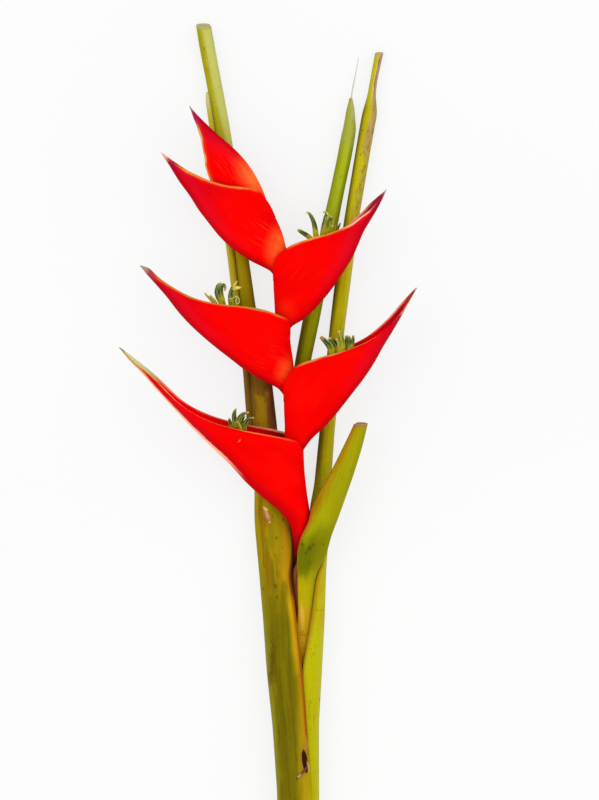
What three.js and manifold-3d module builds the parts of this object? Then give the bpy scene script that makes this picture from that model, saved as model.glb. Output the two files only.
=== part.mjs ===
// Heliconia flower: a cut stem lying on its back. Millimetres, +Z up, the floor at z = 0.
// The stem runs along +Y. The cut end is at -Y and the leaf stalks end at +Y.
// X grows to the right of somebody who looks down on the flower.
import * as THREE from "three";
import { mergeVertices } from "three/addons/utils/BufferGeometryUtils.js";
import Module from "manifold-3d";

const wasm = await Module();
wasm.setup();

// Driving dimensions
const SIDE_WALL = 1.3; // flesh of a bract
const SLEEVE_WALL = 1.0; // flesh of a bract where it clasps the axis
const RIM = 0.85; // flesh of a bract at its margin
const KEEL_WALL = 1.7; // flesh of a bract at its keel
const KEEL_POWER = 1.25; // 1 is a round keel, more is sharper
const BRACT_COLUMNS = 18;
const LEAF_COLUMNS = 14;
const AXIS_SIDES = 10;
const TEPAL_SIDES = 5;
const TEPAL_STEPS = 5;
const PLANE = 28.5; // height of the middle plane of the flower head
const AXIS_BELOW = 3.4; // radius of the flower stalk in the false stem
const AXIS_ABOVE = 2.3; // radius of the axis inside the bracts

// Bract stations, from the clasping base to the tip:
// keel x, keel y, margin x, margin y, height of the middle plane, half width, half mouth, skew.
// The far margin stands above the given line by the skew and the near margin below it. A half
// mouth of 0 is a closed sleeve round the axis.
const BRACT_1 = [
  [17.2, -73.5, 25.0, -73.5, 20.0, 3.9, 0, 0],
  [16.6, -63.1, 26.2, -59.8, 21.2, 4.2, 0, 0],
  [14.3, -52.9, 27.2, -46.1, 22.8, 4.8, 0, 0],
  [7.5, -43.9, 25.5, -33.8, 24.6, 6.2, 0, 0],
  [-3.9, -34.8, 24.0, -20.8, 26.6, 8.4, 0, 0],
  [-14.0, -25.4, 22.9, -9.6, 28.0, 10.8, 0, 0],
  [-19.4, -19.4, 21.6, -1.6, 28.2, 12.0, 6.4, 0.6],
  [-25.4, -13.0, 18.2, 2.9, PLANE, 13.0, 8.6, 1.6],
  [-36.4, -2.6, 1.3, 7.1, PLANE, 13.8, 9.8, 2.1],
  [-48.8, 9.5, -19.5, 10.9, PLANE, 13.2, 9.4, 2.0],
  [-59.8, 21.2, -39.6, 16.9, PLANE, 11.2, 8.2, 1.9],
  [-71.5, 34.0, -56.6, 26.6, PLANE, 8.2, 6.2, 1.4],
  [-82.5, 46.4, -73.0, 42.6, PLANE, 4.6, 3.6, 1.0],
  [-90.6, 54.6, -86.4, 53.2, PLANE, 2.4, 1.8, 1.2],
  [-96.9, 62.1, -96.5, 62.4, PLANE, 0.6, 0.4, 0],
];
const BRACT_2 = [
  [20.7, -15.0, 13.0, -13.0, 27.8, 4.0, 0, 0],
  [21.0, -8.2, 11.8, -4.0, 28.3, 4.2, 0, 0],
  [23.6, -3.2, 10.9, 3.0, PLANE, 4.8, 0, 0],
  [28.9, 3.6, 10.8, 12.0, PLANE, 6.2, 0, 0],
  [37.1, 11.1, 10.4, 20.5, PLANE, 8.6, 0, 0],
  [43.6, 18.4, 10.3, 26.8, PLANE, 10.6, 0, 0],
  [47.2, 23.0, 10.4, 35.4, PLANE, 11.8, 6.6, 0],
  [50.4, 27.0, 12.3, 41.6, PLANE, 12.6, 8.2, 0],
  [56.2, 34.5, 18.2, 49.5, PLANE, 13.6, 9.6, 0],
  [62.4, 42.6, 29.2, 54.1, PLANE, 14.0, 10.0, 0],
  [68.6, 52.0, 42.2, 57.9, PLANE, 13.4, 10.0, 0.2],
  [74.9, 63.2, 54.6, 62.7, PLANE, 11.6, 8.8, 1.0],
  [81.2, 73.4, 67.6, 69.4, PLANE, 8.6, 6.8, 1.7],
  [87.1, 83.5, 79.4, 79.0, PLANE, 5.6, 4.6, 2.4],
  [92.0, 92.4, 88.4, 89.8, PLANE, 3.2, 2.6, 2.0],
  [96.9, 100.7, 96.2, 101.1, PLANE, 0.7, 0.5, 0],
];
const BRACT_3 = [
  [12.2, 20.5, 19.8, 23.5, PLANE, 4.0, 0, 0],
  [12.0, 27.6, 18.6, 33.5, PLANE, 4.2, 0, 0],
  [7.4, 35.0, 17.4, 44.0, PLANE, 4.8, 0, 0],
  [-0.6, 39.5, 16.4, 53.5, PLANE, 6.2, 0, 0],
  [-8.8, 44.0, 15.3, 60.5, PLANE, 8.4, 0, 0],
  [-16.6, 49.0, 14.5, 67.0, PLANE, 10.6, 0, 0],
  [-22.0, 53.2, 14.5, 70.4, PLANE, 12.0, 0, 0],
  [-27.2, 57.2, 13.3, 79.2, PLANE, 12.8, 6.8, 0],
  [-33.1, 61.8, 5.2, 83.7, PLANE, 13.8, 9.0, 0],
  [-41.6, 68.9, -9.1, 87.8, PLANE, 14.0, 9.8, 0],
  [-50.1, 76.7, -25.4, 89.5, PLANE, 13.0, 9.6, 0],
  [-57.9, 85.2, -41.0, 92.0, PLANE, 10.8, 8.4, 0],
  [-65.7, 95.2, -55.6, 97.5, PLANE, 7.6, 6.0, 0],
  [-74.2, 105.0, -70.6, 107.0, PLANE, 4.0, 3.2, 0],
  [-79.6, 110.9, -77.0, 113.0, PLANE, 2.2, 1.7, 0],
  [-83.3, 115.2, -82.9, 115.6, PLANE, 0.7, 0.5, 0],
];
const BRACT_4 = [
  [12.3, 63.5, 4.9, 65.0, PLANE, 4.0, 0, 0],
  [12.3, 70.0, 4.8, 75.0, PLANE, 4.1, 0, 0],
  [15.2, 75.8, 4.5, 84.0, PLANE, 4.7, 0, 0],
  [22.8, 80.6, 4.1, 92.0, PLANE, 6.2, 0, 0],
  [30.6, 87.8, 3.6, 100.0, PLANE, 8.6, 0, 0],
  [36.2, 94.0, 3.5, 105.2, PLANE, 10.4, 0, 0],
  [40.2, 99.0, 3.6, 114.8, PLANE, 11.6, 6.6, 0],
  [43.6, 103.7, 6.2, 121.5, PLANE, 12.6, 8.4, 0],
  [49.1, 111.8, 14.6, 127.9, PLANE, 13.2, 9.2, 0],
  [54.0, 119.6, 26.7, 132.6, PLANE, 12.8, 9.4, 0],
  [57.9, 128.1, 39.6, 136.1, PLANE, 11.0, 8.4, 0],
  [61.8, 137.2, 51.7, 141.2, PLANE, 8.2, 6.6, 0.2],
  [66.8, 145.7, 61.1, 148.5, PLANE, 5.2, 4.2, 1.0],
  [72.3, 154.8, 67.9, 155.0, PLANE, 2.8, 2.2, 1.4],
  [77.4, 165.1, 77.0, 164.9, PLANE, 0.6, 0.4, 0],
];
const BRACT_5 = [
  [5.2, 100.5, 13.0, 103.0, PLANE, 4.0, 0, 0],
  [5.1, 106.4, 13.3, 112.5, PLANE, 4.2, 0, 0],
  [2.0, 111.6, 12.9, 120.4, PLANE, 4.8, 0, 0],
  [-3.9, 115.0, 11.7, 127.4, PLANE, 6.4, 0, 0],
  [-11.1, 118.6, 9.0, 137.2, PLANE, 8.6, 0, 0],
  [-18.2, 123.2, 4.9, 146.6, PLANE, 10.6, 0, 0],
  [-25.4, 128.7, -0.3, 156.7, PLANE, 12.2, 8.0, 0],
  [-32.2, 135.5, -7.8, 164.5, PLANE, 12.6, 9.2, 0],
  [-38.7, 143.7, -18.5, 166.1, PLANE, 12.2, 9.6, 0],
  [-44.9, 151.8, -29.9, 167.8, PLANE, 10.8, 8.8, 0],
  [-50.7, 160.9, -41.3, 171.6, PLANE, 8.4, 7.0, 0],
  [-57.6, 170.4, -51.7, 176.6, PLANE, 5.6, 4.6, 0],
  [-63.8, 180.1, -60.3, 182.2, PLANE, 3.2, 2.6, 0],
  [-69.7, 188.6, -69.3, 188.9, PLANE, 0.7, 0.5, 0],
];
const BRACT_6 = [
  [0.0, 142.3, -7.2, 139.8, PLANE, 3.9, 0, 0],
  [-0.3, 151.5, -11.4, 145.6, PLANE, 4.6, 0, 0],
  [-2.1, 160.2, -18.2, 153.1, PLANE, 5.6, 0, 0],
  [-5.9, 169.0, -28.2, 161.2, PLANE, 6.6, 3.6, 0],
  [-11.1, 178.1, -36.4, 169.6, PLANE, 7.2, 4.6, 0],
  [-17.2, 185.9, -39.9, 178.0, PLANE, 7.4, 5.0, 0],
  [-24.4, 193.1, -41.3, 186.7, PLANE, 6.8, 4.8, 0],
  [-31.9, 199.6, -42.9, 195.4, PLANE, 5.4, 4.0, 0],
  [-39.0, 206.0, -45.3, 203.7, PLANE, 3.6, 2.8, 0],
  [-45.2, 212.3, -48.1, 211.3, PLANE, 1.9, 1.5, 0],
  [-51.0, 219.1, -51.2, 218.9, PLANE, 0.6, 0.4, 0],
];

// Leaf stations, from the lower end to the upper end:
// y, centre x, centre z, half width, half height, wall, start angle, end angle. The angles go
// anticlockwise in the XZ plane from +X, so 90 is the side that faces up.
const LEAF_LEFT = [
  [-272.3, 19.9, 12.3, 13.9, 12.6, 1.6, 50, 300],
  [-250.0, 19.9, 12.3, 13.9, 12.6, 1.6, 50, 300],
  [-228.8, 19.8, 12.9, 13.9, 12.6, 1.6, 51, 300],
  [-182.7, 18.3, 13.5, 15.6, 12.8, 1.9, 64, 298],
  [-147.6, 18.0, 13.9, 18.9, 13.0, 2.2, 77, 290],
  [-114.4, 15.9, 13.4, 19.2, 12.6, 2.4, 82, 275],
  [-85.8, 9.6, 11.8, 15.4, 11.0, 2.8, 71, 285],
  [-56.6, 2.7, 10.2, 10.9, 9.4, 3.6, 18, 320],
  [-31.9, -0.5, 8.0, 8.3, 7.3, 3.6, 5, 325],
  [8.5, -2.4, 7.0, 8.6, 6.4, 3.4, 5, 325],
  [46.2, -5.7, 7.0, 7.6, 6.4, 3.4, 5, 325],
  [67.0, -9.5, 6.7, 6.6, 6.1, 3.6, 5, 325],
  [87.1, -13.1, 6.1, 5.3, 5.5, 3.6, 5, 325],
  [119.6, -17.0, 5.7, 4.5, 5.1, 3.4, 5, 325],
  [161.9, -23.2, 5.5, 5.0, 5.1, 3.6, 5, 325],
  [203.5, -29.8, 5.3, 5.3, 5.1, 3.6, 5, 325],
  [226.9, -33.8, 5.1, 5.0, 5.0, 3.6, 5, 325],
  [259.0, -39.9, 4.7, 4.8, 4.9, 3.4, 5, 325],
  [271.7, -42.1, 4.6, 4.6, 4.8, 3.2, 5, 325],
];
const LEAF_LEFT_INNER = [
  [-24.0, -0.9, 7.9, 10.3, 9.0, 1.2, 150, 200],
  [8.5, -2.4, 7.0, 11.2, 9.0, 2.0, 148, 205],
  [46.2, -5.7, 7.0, 10.6, 9.4, 2.4, 148, 206],
  [87.1, -13.1, 6.3, 9.2, 9.2, 3.4, 146, 202],
  [119.6, -17.0, 5.9, 9.3, 9.6, 4.3, 148, 199],
  [157.9, -22.6, 5.7, 9.1, 9.2, 3.8, 150, 199],
  [190.4, -27.7, 5.6, 8.5, 8.6, 3.0, 150, 202],
  [208.6, -30.6, 5.6, 8.1, 8.2, 2.4, 152, 202],
  [221.0, -32.8, 5.4, 7.4, 7.4, 1.4, 156, 196],
  [228.0, -34.0, 5.2, 6.3, 6.3, 0.8, 168, 188],
];
const LEAF_FRONT = [
  [-272.3, 20.3, 12.4, 9.0, 7.3, 2.2, -130, 150],
  [-228.8, 20.3, 12.9, 9.0, 7.3, 2.0, -130, 150],
  [-182.7, 19.1, 13.4, 10.5, 7.5, 2.0, -130, 150],
  [-147.6, 18.6, 13.8, 12.4, 7.5, 1.8, -130, 120],
  [-114.4, 19.8, 13.6, 11.0, 7.3, 1.6, -125, 92],
  [-85.8, 20.9, 15.9, 10.2, 8.2, 1.5, -115, 100],
  [-71.5, 25.7, 19.8, 12.7, 8.4, 1.5, -118, 124],
  [-61.1, 28.2, 21.8, 12.6, 8.4, 1.5, -115, 124],
  [-49.4, 33.2, 23.0, 12.2, 7.8, 1.8, -110, 118],
  [-40.3, 38.0, 23.6, 10.7, 6.6, 2.4, -130, 150],
  [-21.5, 47.2, 24.0, 8.2, 5.6, 2.8, -130, 160],
  [-2.0, 55.3, 24.4, 6.2, 4.9, 2.8, -130, 170],
  [12.7, 60.4, 24.6, 4.5, 4.2, 2.6, -130, 170],
];
const LEAF_RIGHT = [
  [-272.3, 20.5, 12.3, 12.6, 9.7, 1.9, -150, 80],
  [-228.8, 20.5, 12.9, 12.7, 9.8, 2.0, -150, 80],
  [-182.7, 19.4, 13.4, 13.8, 9.9, 1.9, -150, 80],
  [-147.6, 18.7, 13.8, 16.4, 10.2, 1.8, -140, 78],
  [-114.4, 20.6, 13.2, 16.2, 10.2, 1.8, -90, 60],
  [-85.8, 24.3, 10.8, 13.3, 9.6, 1.4, -97, 50],
  [-71.5, 27.6, 9.0, 11.0, 8.2, 1.8, -118, 14],
  [-56.6, 31.9, 7.0, 8.1, 6.2, 3.0, -140, 130],
  [-28.6, 35.4, 6.1, 5.5, 5.5, 3.6, -130, 190],
  [8.5, 38.5, 5.9, 4.9, 5.2, 3.4, -130, 190],
  [76.1, 45.1, 5.7, 4.9, 5.1, 3.4, -130, 190],
  [102.1, 48.3, 5.6, 5.1, 5.1, 3.4, -130, 190],
  [145.6, 54.3, 5.4, 4.7, 4.9, 3.4, -130, 190],
  [192.4, 62.2, 5.1, 4.8, 4.7, 3.4, -130, 190],
  [215.8, 66.4, 4.8, 5.0, 4.6, 3.4, -130, 190],
  [224.9, 67.2, 4.4, 2.7, 4.2, 1.9, -130, 190],
  [236.0, 68.7, 4.0, 2.3, 3.9, 1.6, -130, 190],
  [253.2, 72.3, 3.5, 2.7, 3.7, 1.9, -130, 190],
];
const LEAF_RIGHT_INNER = [
  [-85.8, 15.0, 6.3, 3.4, 2.0, 1.3, -50, 270],
  [-71.5, 16.6, 6.8, 3.5, 3.0, 1.8, -50, 270],
  [-56.6, 18.9, 6.8, 3.6, 4.6, 2.2, -50, 270],
  [-37.1, 19.2, 6.8, 5.1, 5.4, 3.2, -50, 270],
  [2.0, 17.6, 6.6, 5.2, 5.4, 3.4, -50, 270],
  [28.0, 18.9, 6.4, 5.2, 5.3, 3.4, -50, 270],
  [54.0, 22.9, 6.2, 5.1, 5.2, 3.4, -50, 270],
  [80.0, 28.0, 6.0, 5.5, 5.2, 3.4, -50, 270],
  [139.8, 39.8, 5.8, 4.9, 5.0, 3.2, -50, 270],
  [162.5, 44.1, 5.7, 4.3, 4.8, 2.9, -50, 270],
  [185.9, 49.5, 5.6, 4.3, 4.6, 2.9, -50, 270],
  [204.0, 52.6, 5.5, 4.1, 4.2, 2.8, -50, 270],
  [206.4, 53.1, 5.5, 4.0, 4.0, 2.8, -50, 270],
  [212.6, 53.3, 5.5, 2.7, 3.0, 1.9, -50, 270],
  [219.7, 54.0, 5.5, 1.8, 2.2, 1.2, -50, 270],
  [224.5, 53.8, 5.5, 0.8, 1.2, 0.6, -50, 270],
];

// Flower stalk and axis: x, y, z, radius
const AXIS = [
  [20.8, -272.3, 12.4, AXIS_BELOW],
  [19.8, -228.8, 12.9, AXIS_BELOW],
  [18.9, -182.7, 13.4, AXIS_BELOW],
  [18.9, -147.6, 14.2, AXIS_BELOW],
  [18.9, -115.0, 15.0, AXIS_BELOW],
  [18.8, -88.0, 17.8, AXIS_BELOW],
  [21.1, -76.0, 19.6, AXIS_ABOVE],
  [21.3, -60.0, 21.2, AXIS_ABOVE],
  [19.8, -37.1, 24.6, AXIS_ABOVE],
  [16.6, -12.5, 27.9, AXIS_ABOVE],
  [16.2, 8.5, PLANE, AXIS_ABOVE],
  [15.7, 26.7, PLANE, AXIS_ABOVE],
  [12.7, 47.5, PLANE, AXIS_ABOVE],
  [8.6, 63.4, PLANE, AXIS_ABOVE],
  [8.8, 86.5, PLANE, AXIS_ABOVE],
  [8.9, 105.3, PLANE, AXIS_ABOVE],
  [8.2, 117.7, PLANE, AXIS_ABOVE],
  [5.5, 127.4, PLANE, AXIS_ABOVE],
  [1.2, 135.8, PLANE, AXIS_ABOVE],
  [-2.8, 140.4, PLANE, 1.8],
];

// Flower clusters: the fleshy base (centre and radii) and the tepals.
// A tepal is: root x, y, z, middle x, y, z, tip x, y, z, radius.
const FLOWERS_1 = {
  base: [-18.7, -3.5, 28.5, 10.0, 7.6, 6.4],
  tepals: [
    [-18.5, 1.5, 29.0, -22.0, 12.8, 30.5, -20.8, 22.3, 33.0, 1.8],
    [-20.5, 1.0, 27.5, -24.0, 9.8, 27.0, -25.4, 16.4, 28.0, 1.3],
    [-17.5, 1.5, 30.5, -19.0, 13.8, 33.0, -12.4, 20.4, 34.5, 1.7],
    [-16.0, 1.5, 28.0, -17.4, 10.5, 28.0, -17.0, 17.2, 28.0, 1.6],
    [-14.5, 1.5, 29.5, -14.8, 11.6, 31.5, -9.0, 16.8, 33.0, 1.6],
  ],
};
const FLOWERS_2 = {
  base: [49.0, 43.1, 28.5, 8.0, 9.0, 6.4],
  tepals: [
    [44.5, 48.5, 29.0, 40.8, 60.8, 31.0, 34.0, 68.3, 32.0, 2.2],
    [45.5, 48.5, 27.0, 45.4, 61.8, 27.5, 38.6, 68.8, 27.5, 2.0],
    [47.5, 49.0, 30.5, 48.4, 61.5, 32.5, 46.6, 72.4, 34.0, 2.0],
    [49.5, 49.0, 28.5, 52.0, 61.5, 29.0, 51.2, 70.6, 29.5, 1.9],
    [51.5, 48.0, 30.0, 54.6, 61.0, 32.0, 55.1, 70.0, 33.0, 1.5],
  ],
};
const FLOWERS_3 = {
  base: [-32.1, 75.9, 28.5, 10.8, 8.2, 6.4],
  tepals: [
    [-34.0, 81.5, 28.5, -36.6, 92.0, 29.0, -40.8, 97.1, 30.0, 1.2],
    [-30.0, 81.5, 29.5, -32.9, 94.5, 31.5, -30.4, 104.0, 33.0, 1.8],
    [-28.5, 81.5, 27.5, -29.8, 93.5, 28.0, -28.2, 101.4, 29.5, 1.7],
    [-25.5, 79.5, 29.5, -23.9, 94.0, 31.5, -20.4, 104.6, 33.0, 1.7],
    [-24.5, 79.0, 27.5, -22.0, 92.0, 27.5, -17.8, 100.4, 29.0, 1.4],
  ],
};
const FLOWERS_4 = {
  base: [40.9, 120.9, 28.5, 9.8, 7.6, 6.4],
  tepals: [
    [34.5, 124.0, 28.5, 26.8, 133.0, 30.0, 19.4, 138.8, 31.0, 1.6],
    [36.0, 126.0, 30.0, 31.4, 138.5, 32.0, 25.3, 149.8, 34.0, 1.8],
    [38.0, 126.5, 28.5, 37.2, 138.0, 30.0, 37.6, 148.8, 31.0, 1.9],
    [40.5, 126.5, 30.0, 41.2, 138.0, 33.0, 39.6, 147.6, 34.5, 1.8],
    [42.0, 125.5, 28.5, 44.6, 135.5, 29.0, 47.0, 143.6, 29.5, 1.1],
  ],
};

const material = (name, color) => new THREE.MeshStandardMaterial({ name, color, roughness: 0.5 });
const RED = material("bract_red", 0xf00a08);
const GREEN = material("sheath_green", 0xa39a10);
const LIME = material("stalk_green", 0xaab414);
const STALK_RED = material("axis_red", 0xd81408);
const FLOWER = material("flower_green", 0x3c5a2c);

// Smooth curve through rows of numbers: values of the row at place t.
function rowAt(rows, t) {
  const last = rows.length - 1;
  const i = Math.min(Math.floor(t), last - 1);
  const u = t - i;
  const slope = (k, c) => {
    const a = Math.max(k - 1, 0);
    const b = Math.min(k + 1, last);
    return (rows[b][c] - rows[a][c]) / (b - a);
  };
  const u2 = u * u;
  const u3 = u2 * u;
  return rows[i].map((value, c) => {
    const start = (2 * u3 - 3 * u2 + 1) * value + (u3 - 2 * u2 + u) * slope(i, c);
    return start + (3 * u2 - 2 * u3) * rows[i + 1][c] + (u3 - u2) * slope(i + 1, c);
  });
}

// Closed body from triangles of points; it is turned to face out.
function bodyFrom(triangles) {
  let volume = 0;
  for (const [a, b, c] of triangles) {
    volume += a.clone().cross(b).dot(c);
  }
  const positions = [];
  for (const [a, b, c] of triangles) {
    const order = volume > 0 ? [a, b, c] : [a, c, b];
    for (const p of order) positions.push(p.x, p.y, p.z);
  }
  const geometry = new THREE.BufferGeometry();
  geometry.setAttribute("position", new THREE.Float32BufferAttribute(positions, 3));
  return geometry;
}

// A sheet with flesh: rows of outer and inner points. Rows up to `closed` join into a sleeve.
function sheetBody(outer, inner, closed) {
  const triangles = [];
  const quad = (a, b, c, d) => {
    if (a.distanceTo(b) > 1e-6 && b.distanceTo(c) > 1e-6 && c.distanceTo(a) > 1e-6) {
      triangles.push([a, b, c]);
    }
    if (a.distanceTo(c) > 1e-6 && c.distanceTo(d) > 1e-6 && d.distanceTo(a) > 1e-6) {
      triangles.push([a, c, d]);
    }
  };
  const rows = outer.length - 1;
  const columns = outer[0].length - 1;
  for (let i = 0; i < rows; i++) {
    for (let j = 0; j < columns; j++) {
      quad(outer[i][j], outer[i + 1][j], outer[i + 1][j + 1], outer[i][j + 1]);
      quad(inner[i][j], inner[i][j + 1], inner[i + 1][j + 1], inner[i + 1][j]);
    }
    if (i >= closed) {
      quad(outer[i][0], inner[i][0], inner[i + 1][0], outer[i + 1][0]);
      quad(outer[i][columns], outer[i + 1][columns], inner[i + 1][columns], inner[i][columns]);
    }
  }
  for (let j = 0; j < columns; j++) {
    quad(outer[0][j], outer[0][j + 1], inner[0][j + 1], inner[0][j]);
    quad(outer[rows][j], inner[rows][j], inner[rows][j + 1], outer[rows][j + 1]);
  }
  return bodyFrom(triangles);
}

// One line of points across a bract, from its far margin under the keel to its near margin.
function bractLine(keel, margin, z, half, mouth, skew) {
  const end = Math.PI - Math.asin(Math.min(mouth / half, 1));
  const along = margin.clone().sub(keel);
  const line = [];
  for (let j = 0; j <= BRACT_COLUMNS; j++) {
    const turn = Math.abs((2 * j) / BRACT_COLUMNS - 1) * end;
    const far = 2 * j < BRACT_COLUMNS;
    const reach = (1 - Math.cos(turn)) / (1 - Math.cos(end));
    const swell = Math.sin(turn) ** (turn < Math.PI / 2 ? KEEL_POWER : 1);
    const atSeam = mouth === 0 && (j === 0 || j === BRACT_COLUMNS);
    const point = keel.clone().addScaledVector(along, reach);
    point.addScaledVector(skew, (far ? 1 : -1) * reach * reach);
    point.z = z + (atSeam ? 0 : (far ? -1 : 1) * half * swell);
    line.push(point);
  }
  return line;
}

function bractBody(stations) {
  const last = stations.length - 1;
  const closed = stations.findIndex((row) => row[6] > 0) - 1;
  const places = [];
  for (let i = 0; i < last; i++) {
    places.push(i);
    if (i >= closed) places.push(i + 0.5);
  }
  places.push(last);
  const outer = [];
  const inner = [];
  for (const t of places) {
    const [kx, ky, mx, my, z, half, mouthAt, skewAt] = rowAt(stations, t);
    const open = t > closed;
    const opening = stations[closed + 1][6] * Math.sqrt(Math.max(t - closed, 0));
    const mouth = t < closed + 1 ? opening : mouthAt;
    const keel = new THREE.Vector3(kx, ky, 0);
    const margin = new THREE.Vector3(mx, my, 0);
    const depth = margin.distanceTo(keel);
    const along = margin.clone().sub(keel).normalize();
    const before = rowAt(stations, Math.max(t - 0.2, 0));
    const after = rowAt(stations, Math.min(t + 0.2, last));
    const skew = new THREE.Vector3(before[3] - after[3], after[2] - before[2], 0);
    skew.setLength(open ? Math.max(skewAt, 0) : 0);
    if (skew.dot(along) < 0) skew.negate();
    const tip = THREE.MathUtils.smoothstep(t, last - 3, last);
    const sleeve = THREE.MathUtils.clamp(t / closed, 0, 1);
    const wall = THREE.MathUtils.lerp(SLEEVE_WALL, SIDE_WALL, sleeve);
    const floor = THREE.MathUtils.lerp(SLEEVE_WALL, KEEL_WALL, sleeve);
    const heel = THREE.MathUtils.lerp(floor, 0.85 * depth, tip);
    const innerKeel = keel.clone().addScaledVector(along, heel);
    const innerMargin = margin.clone().addScaledVector(along, open ? 0 : -wall);
    const innerMouth = open ? Math.max(mouth - RIM, 0.3 * mouth) : 0;
    const hollow = Math.max(half - wall, 0.5 * half);
    const innerHalf = THREE.MathUtils.lerp(hollow, innerMouth, tip);
    outer.push(bractLine(keel, margin, z, half, mouth, skew));
    inner.push(bractLine(innerKeel, innerMargin, z, innerHalf, innerMouth, skew));
  }
  return sheetBody(outer, inner, places.indexOf(closed));
}

function leafBody(stations) {
  const outer = [];
  const inner = [];
  for (const [y, cx, cz, rx, rz, wall, from, to] of stations) {
    const outerRow = [];
    const innerRow = [];
    for (let j = 0; j <= LEAF_COLUMNS; j++) {
      const turn = THREE.MathUtils.degToRad(from + ((to - from) * j) / LEAF_COLUMNS);
      const c = Math.cos(turn);
      const s = Math.sin(turn);
      outerRow.push(new THREE.Vector3(cx + rx * c, y, Math.max(cz + rz * s, 0)));
      innerRow.push(new THREE.Vector3(cx + (rx - wall) * c, y, cz + (rz - wall) * s));
    }
    outer.push(outerRow);
    inner.push(innerRow);
  }
  return sheetBody(outer, inner, 0);
}

// A round body along a line of points with a radius at each.
function stalkBody(points, radii, sides) {
  const rings = points.map((point, i) => {
    const before = points[Math.max(i - 1, 0)];
    const after = points[Math.min(i + 1, points.length - 1)];
    const forward = after.clone().sub(before).normalize();
    const across = new THREE.Vector3(0, 0, 1).cross(forward).normalize();
    const up = forward.clone().cross(across);
    const ring = [];
    for (let k = 0; k < sides; k++) {
      const turn = (2 * Math.PI * k) / sides;
      const spot = point.clone().addScaledVector(across, radii[i] * Math.cos(turn));
      ring.push(spot.addScaledVector(up, radii[i] * Math.sin(turn)));
    }
    return ring;
  });
  const triangles = [];
  const last = rings.length - 1;
  for (let k = 0; k < sides; k++) {
    const n = (k + 1) % sides;
    for (let i = 0; i < last; i++) {
      triangles.push([rings[i][k], rings[i][n], rings[i + 1][n]]);
      triangles.push([rings[i][k], rings[i + 1][n], rings[i + 1][k]]);
    }
    triangles.push([points[0], rings[0][n], rings[0][k]]);
    triangles.push([points[last], rings[last][k], rings[last][n]]);
  }
  return bodyFrom(triangles);
}

function toManifold(geometry) {
  const bare = new THREE.BufferGeometry();
  bare.setAttribute("position", geometry.getAttribute("position").clone());
  if (geometry.index) bare.setIndex(geometry.index.clone());
  const merged = mergeVertices(bare, 1e-4);
  return new wasm.Manifold(new wasm.Mesh({
    numProp: 3,
    vertProperties: new Float32Array(merged.getAttribute("position").array),
    triVerts: new Uint32Array(merged.index.array),
  }));
}

function fromManifold(solid) {
  const mesh = solid.getMesh();
  const geometry = new THREE.BufferGeometry();
  geometry.setAttribute("position", new THREE.BufferAttribute(mesh.vertProperties, 3));
  geometry.setIndex(new THREE.BufferAttribute(mesh.triVerts, 1));
  return geometry;
}

function tepal([ax, ay, az, bx, by, bz, cx, cy, cz, radius]) {
  const root = new THREE.Vector3(ax, ay, az);
  const middle = new THREE.Vector3(bx, by, bz);
  const tip = new THREE.Vector3(cx, cy, cz);
  const points = [];
  const radii = [];
  for (let i = 0; i <= TEPAL_STEPS; i++) {
    const u = i / TEPAL_STEPS;
    const point = root.clone().multiplyScalar((1 - u) * (1 - 2 * u));
    point.addScaledVector(middle, 4 * u * (1 - u));
    points.push(point.addScaledVector(tip, u * (2 * u - 1)));
    radii.push(radius * (1 - 0.72 * u ** 3));
  }
  return stalkBody(points, radii, TEPAL_SIDES);
}

function clusterBody({ base, tepals }) {
  const [x, y, z, rx, ry, rz] = base;
  const flesh = new THREE.SphereGeometry(1, 10, 8);
  flesh.scale(rx, ry, rz);
  flesh.translate(x, y, z);
  let solid = toManifold(flesh);
  for (const row of tepals) {
    solid = solid.add(toManifold(tepal(row)));
  }
  return fromManifold(solid);
}

function piece(name, geometry, look) {
  const mesh = new THREE.Mesh(geometry, look.clone());
  mesh.name = name;
  return mesh;
}

const part = new THREE.Group();
part.name = "heliconia_flower";
part.add(piece("leaf_left", leafBody(LEAF_LEFT), GREEN));
part.add(piece("leaf_left_inner", leafBody(LEAF_LEFT_INNER), GREEN));
part.add(piece("leaf_front", leafBody(LEAF_FRONT), LIME));
part.add(piece("leaf_right", leafBody(LEAF_RIGHT), LIME));
part.add(piece("leaf_right_inner", leafBody(LEAF_RIGHT_INNER), GREEN));
const axisPoints = AXIS.map(([x, y, z]) => new THREE.Vector3(x, y, z));
part.add(piece("axis", stalkBody(axisPoints, AXIS.map((row) => row[3]), AXIS_SIDES), STALK_RED));
[BRACT_1, BRACT_2, BRACT_3, BRACT_4, BRACT_5, BRACT_6].forEach((stations, i) => {
  part.add(piece(`bract_${i + 1}`, bractBody(stations), RED));
});
[FLOWERS_1, FLOWERS_2, FLOWERS_3, FLOWERS_4].forEach((cluster, i) => {
  part.add(piece(`flowers_${i + 1}`, clusterBody(cluster), FLOWER));
});

export default part;
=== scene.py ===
import math

import bmesh
import bpy
import numpy as np
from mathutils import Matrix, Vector


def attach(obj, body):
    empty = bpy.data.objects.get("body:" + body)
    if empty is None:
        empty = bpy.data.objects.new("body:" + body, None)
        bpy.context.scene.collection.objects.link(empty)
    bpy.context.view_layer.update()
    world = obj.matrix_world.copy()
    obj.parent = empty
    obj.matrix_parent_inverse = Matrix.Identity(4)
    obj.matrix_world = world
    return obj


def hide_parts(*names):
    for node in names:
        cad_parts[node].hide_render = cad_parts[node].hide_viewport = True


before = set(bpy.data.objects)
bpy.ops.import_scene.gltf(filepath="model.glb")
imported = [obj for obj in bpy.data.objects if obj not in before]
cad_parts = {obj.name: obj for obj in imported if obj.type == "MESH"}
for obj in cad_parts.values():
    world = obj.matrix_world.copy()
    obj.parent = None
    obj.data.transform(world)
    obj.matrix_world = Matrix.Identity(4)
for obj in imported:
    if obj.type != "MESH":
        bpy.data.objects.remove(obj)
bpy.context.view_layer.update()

MM = 0.001

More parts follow.
